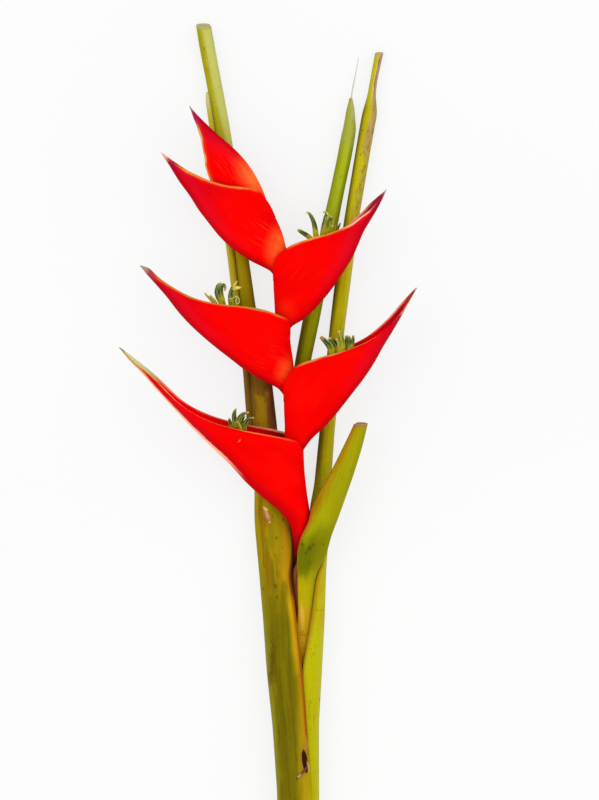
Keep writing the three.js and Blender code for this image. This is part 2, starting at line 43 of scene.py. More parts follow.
# Millimetres, +Z up, the floor at z = 0, the stem along +Y.
PLANE = 28.5  # height of the middle plane of the flower head
AXIS_BELOW = 3.4  # radius of the flower stalk in the false stem
AXIS_ABOVE = 2.3  # radius of the axis inside the bracts
SIDE_WALL = 1.3  # flesh of a bract
SLEEVE_WALL = 1  # flesh of a bract where it clasps the axis
RIM = 0.85  # flesh of a bract at its margin
KEEL_WALL = 1.7  # flesh of a bract at its keel
KEEL_POWER = 1.25  # 1 is a round keel, more is sharper
FULLER = 0.35  # how much the keels stand out beyond the plain form
FLARE = 0.35  # how far a bract's margin rolls outwards
RIPPLE = 0.1  # how far it waves
RIB, DENT = 0.05, 0.14  # relief of a bract's fibres, and its broad dents
LIP = 0.3  # how far the round of the margin stands out between the two skins
BRACT_COLUMNS = 72
BRACT_ROWS = 8  # rows from one station to the next
LEAF_RIB, LEAF_SWELL, LEAF_LIP = 0.06, 0.12, 0.12  # the same for a leaf
LEAF_RIBS = 10  # ribs to a radian
LEAF_COLUMNS = 56
LEAF_STEP = 3  # from row to row
CUT_ZONE = 16  # length of a stalk's end that leans back with its cut

# Bracts from the clasping base to the tip: keel x, keel y, margin x, margin y, middle z, half width, half
# mouth (0 is a closed sleeve round the axis), skew of the two margins
BRACT_1 = [
    (17.2, -73.5, 25, -73.5, 20, 3.9, 0, 0),
    (16.6, -63.1, 26.2, -59.8, 21.2, 4.2, 0, 0),
    (14.3, -52.9, 27.2, -46.1, 22.8, 4.8, 0, 0),
    (7.5, -43.9, 25.5, -33.8, 24.6, 6.2, 0, 0),
    (-3.9, -34.8, 24, -20.8, 26.6, 8.4, 0, 0),
    (-14, -25.4, 22.9, -9.6, 28, 10.8, 0, 0),
    (-19.4, -19.4, 21.6, -1.6, 28.2, 12, 6.4, 0.6),
    (-25.4, -13, 18.2, 2.9, PLANE, 13, 8.6, 1.6),
    (-36.4, -2.6, 1.3, 7.1, PLANE, 13.8, 9.8, 2.1),
    (-48.8, 9.5, -19.5, 10.9, PLANE, 13.2, 9.4, 2),
    (-59.8, 21.2, -39.6, 16.9, PLANE, 11.2, 8.2, 1.9),
    (-71.5, 34, -56.6, 26.6, PLANE, 8.2, 6.2, 1.4),
    (-82.5, 46.4, -73, 42.6, PLANE, 4.6, 3.6, 1),
    (-90.6, 54.6, -86.4, 53.2, PLANE, 2.4, 1.8, 1.2),
    (-96.9, 62.1, -96.5, 62.4, PLANE, 0.6, 0.4, 0),
]
BRACT_2 = [
    (20.7, -15, 13, -13, 27.8, 4, 0, 0),
    (21, -8.2, 11.8, -4, 28.3, 4.2, 0, 0),
    (23.6, -3.2, 10.9, 3, PLANE, 4.8, 0, 0),
    (28.9, 3.6, 10.8, 12, PLANE, 6.2, 0, 0),
    (37.1, 11.1, 10.4, 20.5, PLANE, 8.6, 0, 0),
    (43.6, 18.4, 10.3, 26.8, PLANE, 10.6, 0, 0),
    (47.2, 23, 10.4, 35.4, PLANE, 11.8, 6.6, 0),
    (50.4, 27, 12.3, 41.6, PLANE, 12.6, 8.2, 0),
    (56.2, 34.5, 18.2, 49.5, PLANE, 13.6, 9.6, 0),
    (62.4, 42.6, 29.2, 54.1, PLANE, 14, 10, 0),
    (68.6, 52, 42.2, 57.9, PLANE, 13.4, 10, 0.2),
    (74.9, 63.2, 54.6, 62.7, PLANE, 11.6, 8.8, 1),
    (81.2, 73.4, 67.6, 69.4, PLANE, 8.6, 6.8, 1.7),
    (87.1, 83.5, 79.4, 79, PLANE, 5.6, 4.6, 2.4),
    (92, 92.4, 88.4, 89.8, PLANE, 3.2, 2.6, 2),
    (96.9, 100.7, 96.2, 101.1, PLANE, 0.7, 0.5, 0),
]
BRACT_3 = [
    (12.2, 20.5, 19.8, 23.5, PLANE, 4, 0, 0),
    (12, 27.6, 18.6, 33.5, PLANE, 4.2, 0, 0),
    (7.4, 35, 17.4, 44, PLANE, 4.8, 0, 0),
    (-0.6, 39.5, 16.4, 53.5, PLANE, 6.2, 0, 0),
    (-8.8, 44, 15.3, 60.5, PLANE, 8.4, 0, 0),
    (-16.6, 49, 14.5, 67, PLANE, 10.6, 0, 0),
    (-22, 53.2, 14.5, 70.4, PLANE, 12, 0, 0),
    (-27.2, 57.2, 13.3, 79.2, PLANE, 12.8, 6.8, 0),
    (-33.1, 61.8, 5.2, 83.7, PLANE, 13.8, 9, 0),
    (-41.6, 68.9, -9.1, 87.8, PLANE, 14, 9.8, 0),
    (-50.1, 76.7, -25.4, 89.5, PLANE, 13, 9.6, 0),
    (-57.9, 85.2, -41, 92, PLANE, 10.8, 8.4, 0),
    (-65.7, 95.2, -55.6, 97.5, PLANE, 7.6, 6, 0),
    (-74.2, 105, -70.6, 107, PLANE, 4, 3.2, 0),
    (-79.6, 110.9, -77, 113, PLANE, 2.2, 1.7, 0),
    (-83.3, 115.2, -82.9, 115.6, PLANE, 0.7, 0.5, 0),
]
BRACT_4 = [
    (12.3, 63.5, 4.9, 65, PLANE, 4, 0, 0),
    (12.3, 70, 4.8, 75, PLANE, 4.1, 0, 0),
    (15.2, 75.8, 4.5, 84, PLANE, 4.7, 0, 0),
    (22.8, 80.6, 4.1, 92, PLANE, 6.2, 0, 0),
    (30.6, 87.8, 3.6, 100, PLANE, 8.6, 0, 0),
    (36.2, 94, 3.5, 105.2, PLANE, 10.4, 0, 0),
    (40.2, 99, 3.6, 114.8, PLANE, 11.6, 6.6, 0),
    (43.6, 103.7, 6.2, 121.5, PLANE, 12.6, 8.4, 0),
    (49.1, 111.8, 14.6, 127.9, PLANE, 13.2, 9.2, 0),
    (54, 119.6, 26.7, 132.6, PLANE, 12.8, 9.4, 0),
    (57.9, 128.1, 39.6, 136.1, PLANE, 11, 8.4, 0),
    (61.8, 137.2, 51.7, 141.2, PLANE, 8.2, 6.6, 0.2),
    (66.8, 145.7, 61.1, 148.5, PLANE, 5.2, 4.2, 1),
    (72.3, 154.8, 67.9, 155, PLANE, 2.8, 2.2, 1.4),
    (77.4, 165.1, 77, 164.9, PLANE, 0.6, 0.4, 0),
]
BRACT_5 = [
    (5.2, 100.5, 13, 103, PLANE, 4, 0, 0),
    (5.1, 106.4, 13.3, 112.5, PLANE, 4.2, 0, 0),
    (2, 111.6, 12.9, 120.4, PLANE, 4.8, 0, 0),
    (-3.9, 115, 11.7, 127.4, PLANE, 6.4, 0, 0),
    (-11.1, 118.6, 9, 137.2, PLANE, 8.6, 0, 0),
    (-18.2, 123.2, 4.9, 146.6, PLANE, 10.6, 0, 0),
    (-25.4, 128.7, -0.3, 156.7, PLANE, 12.2, 8, 0),
    (-32.2, 135.5, -7.8, 164.5, PLANE, 12.6, 9.2, 0),
    (-38.7, 143.7, -18.5, 166.1, PLANE, 12.2, 9.6, 0),
    (-44.9, 151.8, -29.9, 167.8, PLANE, 10.8, 8.8, 0),
    (-50.7, 160.9, -41.3, 171.6, PLANE, 8.4, 7, 0),
    (-57.6, 170.4, -51.7, 176.6, PLANE, 5.6, 4.6, 0),
    (-63.8, 180.1, -60.3, 182.2, PLANE, 3.2, 2.6, 0),
    (-69.7, 188.6, -69.3, 188.9, PLANE, 0.7, 0.5, 0),
]
BRACT_6 = [
    (0, 142.3, -7.2, 139.8, PLANE, 3.9, 0, 0),
    (-0.3, 151.5, -11.4, 145.6, PLANE, 4.6, 0, 0),
    (-2.1, 160.2, -18.2, 153.1, PLANE, 5.6, 0, 0),
    (-5.9, 169, -28.2, 161.2, PLANE, 6.6, 3.6, 0),
    (-11.1, 178.1, -36.4, 169.6, PLANE, 7.2, 4.6, 0),
    (-17.2, 185.9, -39.9, 178, PLANE, 7.4, 5, 0),
    (-24.4, 193.1, -41.3, 186.7, PLANE, 6.8, 4.8, 0),
    (-31.9, 199.6, -42.9, 195.4, PLANE, 5.4, 4, 0),
    (-39, 206, -45.3, 203.7, PLANE, 3.6, 2.8, 0),
    (-45.2, 212.3, -48.1, 211.3, PLANE, 1.9, 1.5, 0),
    (-51, 219.1, -51.2, 218.9, PLANE, 0.6, 0.4, 0),
]
# Leaves from the lower end up: y, centre x, centre z, radius across, radius up, wall, and the angles in
# degrees where the sheath starts and ends, seen along the stem
LEAF_LEFT = [
    (-272.3, 19.9, 12.3, 13.9, 12.6, 1.6, 50, 300),
    (-250, 19.9, 12.3, 13.9, 12.6, 1.6, 50, 300),
    (-228.8, 19.8, 12.9, 13.9, 12.6, 1.6, 51, 300),
    (-182.7, 18.3, 13.5, 15.6, 12.8, 1.9, 64, 298),
    (-147.6, 18, 13.9, 18.9, 13, 2.2, 77, 290),
    (-114.4, 15.9, 13.4, 19.2, 12.6, 2.4, 82, 275),
    (-85.8, 9.6, 11.8, 15.4, 11, 2.8, 71, 285),
    (-56.6, 3.7, 10.2, 12.3, 9.4, 3.6, 18, 320),
    (-46, 1.9, 9.4, 11, 8.6, 3.6, 12, 322),
    (-31.9, -0.5, 8, 8.3, 7.3, 3.6, 5, 325),
    (8.5, -2.4, 7, 8.6, 6.4, 3.4, 5, 325),
    (46.2, -5.7, 7, 7.6, 6.4, 3.4, 5, 325),
    (67, -9.5, 6.7, 6.6, 6.1, 3.6, 5, 325),
    (87.1, -13.1, 6.1, 5.3, 5.5, 3.6, 5, 325),
    (119.6, -17, 5.7, 4.5, 5.1, 3.4, 5, 325),
    (161.9, -23.2, 5.5, 5, 5.1, 3.6, 5, 325),
    (203.5, -29.8, 5.3, 5.3, 5.1, 3.6, 5, 325),
    (226.9, -33.8, 5.1, 5, 5, 3.6, 5, 325),
    (259, -39.9, 4.7, 5, 4.9, 3.4, 5, 325),
    (271.9, -42, 4.6, 4.9, 4.8, 3.2, 5, 325),
]
LEAF_LEFT_INNER = [
    (-24, -0.9, 7.9, 10.3, 9, 1.2, 150, 200),
    (8.5, -2.4, 7, 11.2, 9, 2, 148, 205),
    (46.2, -5.7, 7, 10.6, 9.4, 2.4, 148, 206),
    (87.1, -13.1, 6.3, 9.2, 9.2, 3.4, 146, 202),
    (119.6, -17, 5.9, 9.3, 9.6, 4.3, 148, 199),
    (157.9, -22.6, 5.7, 9.1, 9.2, 3.8, 150, 199),
    (190.4, -27.7, 5.6, 8.5, 8.6, 3, 150, 202),
    (208.6, -30.6, 5.6, 8.1, 8.2, 2.7, 150, 204),
    (221, -32.8, 5.4, 7.6, 7.6, 2.5, 150, 204),
    (226, -33.7, 5.3, 6.9, 6.9, 2, 152, 202),
    (228.6, -34.1, 5.2, 6.1, 6.1, 1.2, 160, 196),
]
LEAF_FRONT = [
    (-272.3, 20.3, 12.4, 9, 7.3, 2.2, -130, 150),
    (-228.8, 20.3, 12.9, 9, 7.3, 2, -130, 150),
    (-182.7, 19.1, 13.4, 10.5, 7.5, 2, -130, 150),
    (-147.6, 18.6, 13.8, 12.4, 7.5, 1.8, -130, 120),
    (-114.4, 19.8, 13.6, 11, 7.3, 1.6, -125, 92),
    (-85.8, 20.9, 15.9, 10.2, 8.2, 1.5, -115, 100),
    (-71.5, 25.7, 19.8, 12.7, 8.4, 1.5, -118, 124),
    (-61.1, 28.2, 21.8, 12.6, 8.4, 1.5, -115, 124),
    (-49.4, 33.2, 23, 12.2, 7.8, 1.8, -110, 118),
    (-40.3, 38, 23.6, 10.7, 6.6, 2.4, -130, 150),
    (-21.5, 47.2, 24, 8.2, 5.6, 2.8, -130, 160),
    (-2, 55.3, 24.4, 6.2, 4.9, 2.8, -130, 170),
    (12.7, 60.4, 24.6, 4.5, 4.2, 2.6, -130, 170),
]
LEAF_RIGHT = [
    (-272.3, 20.5, 12.3, 12.6, 9.7, 1.9, -150, 80),
    (-228.8, 20.5, 12.9, 12.7, 9.8, 2, -150, 80),
    (-182.7, 19.4, 13.4, 13.8, 9.9, 1.9, -150, 80),
    (-147.6, 18.7, 13.8, 16.4, 10.2, 1.8, -140, 78),
    (-114.4, 20.6, 13.2, 16.2, 10.2, 1.8, -90, 60),
    (-85.8, 24.3, 10.8, 13.3, 9.6, 1.4, -97, 53),
    (-71.5, 27.6, 9, 11, 8.2, 1.8, -118, 27),
    (-56.6, 31.9, 7, 8.1, 6.2, 3, -140, 130),
    (-28.6, 35.4, 6.1, 5.5, 5.5, 3.6, -130, 190),
    (8.5, 38.5, 5.9, 4.9, 5.2, 3.4, -130, 190),
    (76.1, 45.1, 5.7, 4.9, 5.1, 3.4, -130, 190),
    (102.1, 48.3, 5.6, 5.1, 5.1, 3.4, -130, 190),
    (145.6, 54.3, 5.4, 4.7, 4.9, 3.4, -130, 190),
    (192.4, 62.2, 5.1, 4.8, 4.7, 3.4, -130, 190),
    (215.8, 66.4, 4.8, 5, 4.6, 3.4, -130, 190),
    (224.9, 67.2, 4.4, 2.7, 4.2, 1.9, -130, 190),
    (236, 68.7, 4, 2.3, 3.9, 1.6, -130, 190),
    (254.1, 72.4, 3.5, 2.7, 3.7, 1.9, -130, 190),
]
LEAF_RIGHT_INNER = [
    (-108, 15.6, 6.8, 2.6, 1.8, 1.1, -50, 270),
    (-97, 15.3, 6.5, 3.2, 1.9, 1.2, -50, 270),
    (-85.8, 15, 6.3, 3.4, 2, 1.3, -50, 270),
    (-71.5, 16.6, 6.8, 3.5, 3, 1.8, -50, 270),
    (-56.6, 18.9, 6.8, 3.6, 4.6, 2.2, -50, 270),
    (-37.1, 19.2, 6.8, 5.1, 5.4, 3.2, -50, 270),
    (2, 17.6, 6.6, 5.2, 5.4, 3.4, -50, 270),
    (28, 18.9, 6.4, 5.2, 5.3, 3.4, -50, 270),
    (54, 22.9, 6.2, 5.1, 5.2, 3.4, -50, 270),
    (80, 28, 6, 5.5, 5.2, 3.4, -50, 270),
    (139.8, 39.9, 5.8, 5.1, 5, 3.2, -50, 270),
    (162.5, 44.7, 5.7, 4.6, 4.8, 2.9, -50, 270),
    (185.9, 49.7, 5.6, 4.6, 4.6, 2.9, -50, 270),
    (201, 52.4, 5.5, 4.6, 4.2, 2.8, -50, 270),
    (206.4, 53.4, 5.5, 4.2, 4, 2.8, -50, 270),
    (210, 53.3, 5.5, 3.4, 3.4, 2.3, -50, 270),
    (216.5, 53.6, 5.5, 2.7, 2.6, 1.8, -50, 270),
    (221.3, 54.1, 5.5, 1.9, 2, 1.2, -50, 270),
    (224.6, 53.9, 5.5, 0.9, 1.2, 0.6, -50, 270),
]
# Axis: x, y, z, radius
AXIS = [
    (20.8, -272.3, 12.4, AXIS_BELOW),
    (19.8, -228.8, 12.9, AXIS_BELOW),
    (18.9, -182.7, 13.4, AXIS_BELOW),
    (18.9, -147.6, 14.2, AXIS_BELOW),
    (18.9, -115, 15, AXIS_BELOW),
    (18.8, -88, 17.8, AXIS_BELOW),
    (21.1, -76, 19.6, AXIS_ABOVE),
    (21.3, -60, 21.2, AXIS_ABOVE),
    (19.8, -37.1, 24.6, AXIS_ABOVE),
    (16.6, -12.5, 27.9, AXIS_ABOVE),
    (16.2, 8.5, PLANE, AXIS_ABOVE),
    (15.7, 26.7, PLANE, AXIS_ABOVE),
    (12.7, 47.5, PLANE, AXIS_ABOVE),
    (8.6, 63.4, PLANE, AXIS_ABOVE),
    (8.8, 86.5, PLANE, AXIS_ABOVE),
    (8.9, 105.3, PLANE, AXIS_ABOVE),
    (8.2, 117.7, PLANE, AXIS_ABOVE),
    (5.5, 127.4, PLANE, AXIS_ABOVE),
    (1.2, 135.8, PLANE, AXIS_ABOVE),
    (-2.8, 140.4, PLANE, 1.8),
]


# ---------------------------------------------------------------- shapes

def smooth_row(rows, t):
    """Smooth curve through rows of numbers, at place t."""
    last = len(rows) - 1
    i = min(int(t), last - 1)
    u = t - i
    p = [np.array(rows[min(max(k, 0), last)], float) for k in range(i - 1, i + 3)]
    slope_a = (p[2] - p[0]) / (min(i + 1, last) - max(i - 1, 0))
    slope_b = (p[3] - p[1]) / (min(i + 2, last) - max(i, 0))
    return ((2 * u**3 - 3 * u * u + 1) * p[1] + (u**3 - 2 * u * u + u) * slope_a
            + (3 * u * u - 2 * u**3) * p[2] + (u**3 - u * u) * slope_b)


def smoothstep(x, a, b):
    u = np.clip((x - a) / (b - a), 0, 1)
    return u * u * (3 - 2 * u)


def wave(x, y, seed):
    """A cheap smooth wobble from -1 to 1."""
    s = np.random.default_rng(seed).uniform(0, 6.28, 6)
    return (np.sin(x + s[0]) * np.cos(y * 1.3 + s[1]) + 0.6 * np.sin(2.3 * x + 1.1 * y + s[2])
            + 0.4 * np.sin(4.1 * x - 2.7 * y + s[3])) / 2


def arc_length(points):
    """Length along a row of points, from its start."""
    steps = np.linalg.norm(np.diff(points, axis=0), axis=1)
    return np.concatenate([[0], np.cumsum(steps)])


def outward(vector, flat):
    """The direction of a vector with one of its axes left out."""
    vector = vector.copy()
    vector[flat] = 0
    return vector / max(np.linalg.norm(vector), 1e-6)


def put(obj):
    bpy.context.scene.collection.objects.link(obj)
    return obj


class Shell:
    """Collects vertices, faces and per-vertex facts of one body. The facts are the fibres' own
    coordinates (flow), millimetres to the margin (edge), to the keel and to the tip, the share of the
    length (run), 0 outside to 1 inside, and the side from -1 to 1."""

    def __init__(self):
        self.points = []
        self.facts = {"flow": [], "edge": [], "keel": [], "tip": [], "run": [], "inside": [], "side": []}
        self.faces = []

    def add(self, point, flow, edge, keel, tip, run, inside, side=0.0):
        self.points.append(point)
        for key, value in zip(self.facts, (flow, edge, keel, tip, run, inside, side)):
            self.facts[key].append(value)
        return len(self.points) - 1

    def face(self, *corners):
        """A face, without the corners that fall on each other."""
        corners = list(dict.fromkeys(corners))
        if len(corners) > 2:
            self.faces.append(corners)

    def close(self, outer, inner, rim, first_open=0):
        """Joins two skins, the round of their margins from row first_open on, and both ends."""
        last, columns = len(outer) - 1, outer.shape[1] - 1
        margins = ((0, 0), (1, columns))
        for i in range(last):
            for j in range(columns):
                self.face(outer[i, j], outer[i + 1, j], outer[i + 1, j + 1], outer[i, j + 1])
                self.face(inner[i, j], inner[i, j + 1], inner[i + 1, j + 1], inner[i + 1, j])
            if i >= first_open:
                for side, j in margins:
                    self.face(outer[i, j], rim[i, side], rim[i + 1, side], outer[i + 1, j])
                    self.face(rim[i, side], inner[i, j], inner[i + 1, j], rim[i + 1, side])
        for i in (0, last):
            for j in range(columns):
                self.face(outer[i, j], outer[i, j + 1], inner[i, j + 1], inner[i, j])
            if i >= first_open:
                for side, j in margins:
                    self.face(outer[i, j], rim[i, side], inner[i, j])

    def build(self, name):
        """Makes the object, with the facts as attributes of its vertices."""
        mesh = bpy.data.meshes.new(name)
        mesh.from_pydata([tuple(p * MM) for p in self.points], [], self.faces)
        mesh.validate()
        for key, values in self.facts.items():
            kind, field = ("FLOAT_VECTOR", "vector") if key == "flow" else ("FLOAT", "value")
            layer = mesh.attributes.new(key, kind, "POINT")
            layer.data.foreach_set(field, np.array(values, np.float32).ravel())
        mesh.shade_smooth()
        bm = bmesh.new()
        bm.from_mesh(mesh)
        bmesh.ops.recalc_face_normals(bm, faces=bm.faces)
        bm.to_mesh(mesh)
        bm.free()
        return put(bpy.data.objects.new(name, mesh))


def bract_line(keel, margin, z, half, mouth, skew, flare):
    """One line across a skin, from margin to margin round the keel."""
    end = math.pi - math.asin(min(mouth / half, 1))
    u = np.linspace(-1, 1, BRACT_COLUMNS + 1)
    turn = np.abs(u) * end
    side = np.where(u < 0, -1.0, 1.0)
    reach = (1 - np.cos(turn)) / (1 - math.cos(end))
    swell = np.where(turn < math.pi / 2, np.abs(np.sin(turn)) ** KEEL_POWER, np.sin(turn))
    if mouth == 0:
        swell[0] = swell[-1] = 0
    points = keel + reach[:, None] * (margin - keel) - (side * reach**2)[:, None] * skew
    lip = smoothstep(np.abs(u), 0.86, 1) ** 2 * flare
    points[:, 2] = z + side * (half * swell + lip)
    return points


def bract_section(stations, t, closed, seed):
    """The outer and the inner line of a bract at place t. It is a closed sleeve up to place closed."""
    last = len(stations) - 1
    kx, ky, mx, my, z, half, mouth, skew_mm = smooth_row(stations, t)
    is_open = t > closed
    if t < closed + 1:
        mouth = stations[closed + 1][6] * math.sqrt(max(t - closed, 0))
    keel, margin = np.array([kx, ky, 0]), np.array([mx, my, 0])
    depth = np.linalg.norm(margin - keel)
    along = (margin - keel) / max(depth, 1e-6)
    keel = keel - along * FULLER * smoothstep(last - t, 0, 2)
    before, after = smooth_row(stations, max(t - 0.2, 0)), smooth_row(stations, min(t + 0.2, last))
    skew = np.array([before[3] - after[3], after[2] - before[2], 0])
    skew *= (max(skew_mm, 0) if is_open else 0) / np.linalg.norm(skew)
    if np.dot(skew, along) < 0:
        skew = -skew
    tip = smoothstep(t, last - 3, last)
    sleeve = min(t / closed, 1)
    wall = SLEEVE_WALL + (SIDE_WALL - SLEEVE_WALL) * sleeve
    floor = SLEEVE_WALL + (KEEL_WALL - SLEEVE_WALL) * sleeve
    heel = floor + (0.85 * depth - floor) * tip
    inner_mouth = max(mouth - RIM, 0.3 * mouth) if is_open else 0
    hollow = max(half - wall, 0.5 * half)
    inner_half = hollow + (inner_mouth - hollow) * tip
    flare = FLARE * (1 - tip) * smoothstep(t, closed + 0.2, closed + 1.5)
    ripple = RIPPLE * math.sin(t * 5.1 + seed) * (1 - tip) * smoothstep(t, closed, closed + 1.5)
    margin = margin + along * ripple
    outer = bract_line(keel, margin, z, half, mouth, skew, flare)
    inner = bract_line(keel + along * heel, margin - along * (0 if is_open else wall), z,
                       max(inner_half, 0.05), inner_mouth, skew, flare)
    u = np.linspace(-1, 1, BRACT_COLUMNS + 1)
    ribs = RIB * np.sin(np.abs(u) * 60 + 0.3 * math.sin(t)) * (1 - np.abs(u) ** 6)
    dents = DENT * wave(u * 3, t * 0.9, seed) * (1 - tip)
    push = (ribs + dents) * smoothstep(half, 3, 8)
    outer[:, 2] += push * np.where(u < 0, -1, 1) * np.sin(np.abs(u) * math.pi)
    return outer, inner


def bract_shell(stations, seed):
    """A boat-shaped bract with two skins. Its lowest rows are a sleeve, closed round the axis."""
    last, middle = len(stations) - 1, BRACT_COLUMNS // 2
    closed = next(i for i, row in enumerate(stations) if row[6] > 0) - 1
    # The mouth opens fast at its corner, so the rows are closer there.
    places = sorted({k / BRACT_ROWS for k in range(last * BRACT_ROWS + 1)}
                    | {closed + s for s in (0.01, 0.03, 0.06, 0.1)})
    n_rows, closed_row = len(places), places.index(closed)
    skins = np.array([bract_section(stations, t, closed, seed) for t in places]).swapaxes(0, 1)
    corner = skins[0, closed_row, 0]
    keel_run = arc_length(skins[0][:, middle])
    tip_xy = np.array(stations[-1][:2])
    shell = Shell()
    tables = np.zeros(skins.shape[:3], int)
    for inside, grid in enumerate(skins):
        for i, row in enumerate(grid):
            arc = arc_length(row)
            joined = i <= closed_row
            for j, point in enumerate(row):
                if joined and j == BRACT_COLUMNS:
                    tables[inside, i, j] = tables[inside, i, 0]
                    continue
                edge = np.linalg.norm(point - corner) if joined else min(arc[j], arc[-1] - arc[j])
                keel = np.linalg.norm(point[:2] - row[middle][:2])
                tip = np.linalg.norm(point[:2] - tip_xy)
                flow = (arc[j] - arc[middle], keel_run[i], seed)
                tables[inside, i, j] = shell.add(point, flow, edge, keel, tip, places[i] / last, inside,
                                                 -1 if j < middle else 1)
    # The margin is rounded by one line of points between the two skins.
    rim = np.zeros((n_rows, 2), int)
    for i in range(closed_row, n_rows):
        for side, j in ((0, 0), (1, BRACT_COLUMNS)):
            if i == closed_row and side == 1:
                rim[i, 1] = rim[i, 0]
                continue
            lift = 0 if i == closed_row else LIP * min(1, (n_rows - 1 - i) / 8)
            point = skins[:, i, j].mean(0) + outward(skins[0, i, j] - skins[0, i, middle], 2) * lift
            rim[i, side] = shell.add(point, (0, keel_run[i], seed), 0, 20,
                                     np.linalg.norm(point[:2] - tip_xy), places[i] / last, 0.5)
    shell.close(*tables, rim, closed_row)
    return shell


def leaf_rows(stations):
    """Rows at an even step along Y. The bends are rounded where the leaf is clear of the floor."""
    rows = [stations[0]]
    for a, b in zip(stations, stations[1:]):
        steps = max(1, round((b[0] - a[0]) / LEAF_STEP))
        rows += [np.array(a) + (np.array(b, float) - a) * (k / steps) for k in range(1, steps + 1)]
    rows = np.array(rows, float)
    fixed = rows[:, 2] < rows[:, 4]
    for given in rows.T[1:]:
        column = given.copy()
        for _ in range(3):
            column[1:-1] = 0.25 * column[:-2] + 0.5 * column[1:-1] + 0.25 * column[2:]
            column[fixed] = given[fixed]
        given[:] = column
    return rows


def leaf_shell(stations, seed, slant):
    """A leaf sheath with two skins, open between its start and end angle, with a slanted cut on top."""
    rows = leaf_rows(stations)
    y0, y1 = rows[0][0], rows[-1][0]
    u = np.linspace(0, 1, LEAF_COLUMNS + 1)
    skins = []
    for y, cx, cz, rx, rz, wall, start, end in rows:
        turn = np.radians(np.linspace(start, end, LEAF_COLUMNS + 1))
        normal = np.stack([np.cos(turn), np.zeros_like(turn), np.sin(turn)], 1)
        outer, inner = ([cx, y, cz] + normal * [rx - thick, 0, rz - thick] for thick in (0, wall))
        ribs = LEAF_RIB * np.sin(turn * LEAF_RIBS + 0.004 * y + seed)
        swell = LEAF_SWELL * wave(turn * 1.4, y * 0.035, seed)
        # both fade out towards the two margins
        outer += normal * ((ribs + swell) * smoothstep(np.minimum(u, 1 - u), 0, 0.12))[:, None]
        outer[:, 2] = np.maximum(outer[:, 2], 0)
        # the cut at the top leans back, so that its face shows from above
        lean = slant * smoothstep(y, y1 - CUT_ZONE, y1)
        for skin in (outer, inner):
            skin[:, 1] -= lean * (skin[:, 2] - cz)
        skins.append((outer, inner))
    skins = np.array(skins).swapaxes(0, 1)
    shell = Shell()

    def add(i, point, across, edge, keel, inside):
        y, cx, rx = rows[i][0], rows[i][1], rows[i][3]
        return shell.add(point, (across, y, seed), edge, keel, min(y - y0, y1 - y), (y - y0) / (y1 - y0),
                         inside, (point[0] - cx) / rx)

    tables = np.zeros(skins.shape[:3], int)
    for inside, grid in enumerate(skins):
        for i, row in enumerate(grid):
            arc = arc_length(row)
            for j, point in enumerate(row):
                tables[inside, i, j] = add(i, point, arc[j] - arc[-1] / 2, min(arc[j], arc[-1] - arc[j]),
                                           arc[j], inside)
    rim = np.zeros((len(rows), 2), int)
    for i in range(len(rows)):
        for side, j, near in ((0, 0, 1), (1, LEAF_COLUMNS, LEAF_COLUMNS - 1)):
            point = skins[:, i, j].mean(0) + outward(skins[0, i, j] - skins[0, i, near], 1) * LEAF_LIP
            point[2] = max(point[2], 0)
            rim[i, side] = add(i, point, 0, 0, 0, 0.5)
    shell.close(*tables, rim)
    return shell


def tube_shell(rows, sides, seed, step=2, groove=0, flat=1, tone=0):
    """A closed round body along smooth rows of x, y, z, radius."""
    length = sum(np.linalg.norm(np.subtract(a[:3], b[:3])) for a, b in zip(rows, rows[1:]))
    count = max(8, int(length / step))
    spots = np.array([smooth_row(rows, k / count * (len(rows) - 1)) for k in range(count + 1)])
    path = spots[:, :3]
    forward = np.gradient(path, axis=0)
    forward /= np.linalg.norm(forward, axis=1)[:, None]
    shell = Shell()
    run = arc_length(path)
    rings = []
    across = np.cross([0, 0, 1], forward[0])
    for i in range(count + 1):
        across = across - forward[i] * np.dot(across, forward[i])
        across /= np.linalg.norm(across)
        up = np.cross(forward[i], across)
        ring = []
        for a in (2 * math.pi * k / sides for k in range(sides)):
            r = spots[i][3] * (1 + groove * math.cos(3 * a))
            point = path[i] + across * r * math.cos(a) + up * r * flat * math.sin(a)
            ring.append(shell.add(point, (a * r, run[i], seed), 5, 5, run[-1] - run[i],
                                  run[i] / run[-1], tone, math.cos(a)))
        rings.append(ring)
    for a, b in zip(rings, rings[1:]):
        for k in range(sides):
            shell.face(a[k], a[(k + 1) % sides], b[(k + 1) % sides], b[k])
    # both ends are closed round a hub
    for ring, at, share in ((rings[0], 0, 0.0), (rings[-1], -1, 1.0)):
        hub = shell.add(path[at], (0, run[at], seed), 5, 5, run[-1] * (1 - share), share, tone)
        for k in range(sides):
            shell.face(ring[k], ring[(k + 1) % sides], hub)
    return shell


def base_shell(base, seed):
    """The fleshy base of a flower cluster: a knobbly egg, given by its centre and its radii."""
    x, y, z, rx, ry, rz = base
    columns, rows = 36, 20
    shell = Shell()
    table = []
    for i in range(rows + 1):
        lat = math.pi * (i / rows - 0.5)
        row = []
        for lon in (2 * math.pi * j / columns for j in range(columns)):
            knob = 1 - 0.05 * abs(math.sin(lon * 3 + seed)) * math.cos(lat)
            point = np.array([x + rx * knob * math.cos(lat) * math.cos(lon),
                              y + ry * knob * math.cos(lat) * math.sin(lon), z + rz * knob * math.sin(lat)])
            if row and i in (0, rows):
                row.append(row[0])
            else:
                row.append(shell.add(point, (lon * rx, lat * rz, seed), 5, 5, 9, 0.1, 0))
        table.append(row)
    for a, b in zip(table, table[1:]):
        for j in range(columns):
            shell.face(a[j], a[(j + 1) % columns], b[(j + 1) % columns], b[j])
    return shell


# ---------------------------------------------------------------- materials

LIGHT = 1.57  # how bright the stage lights a level surface; colours below are given as they look
APART = 3.7  # keeps the noise of one piece from that of the next


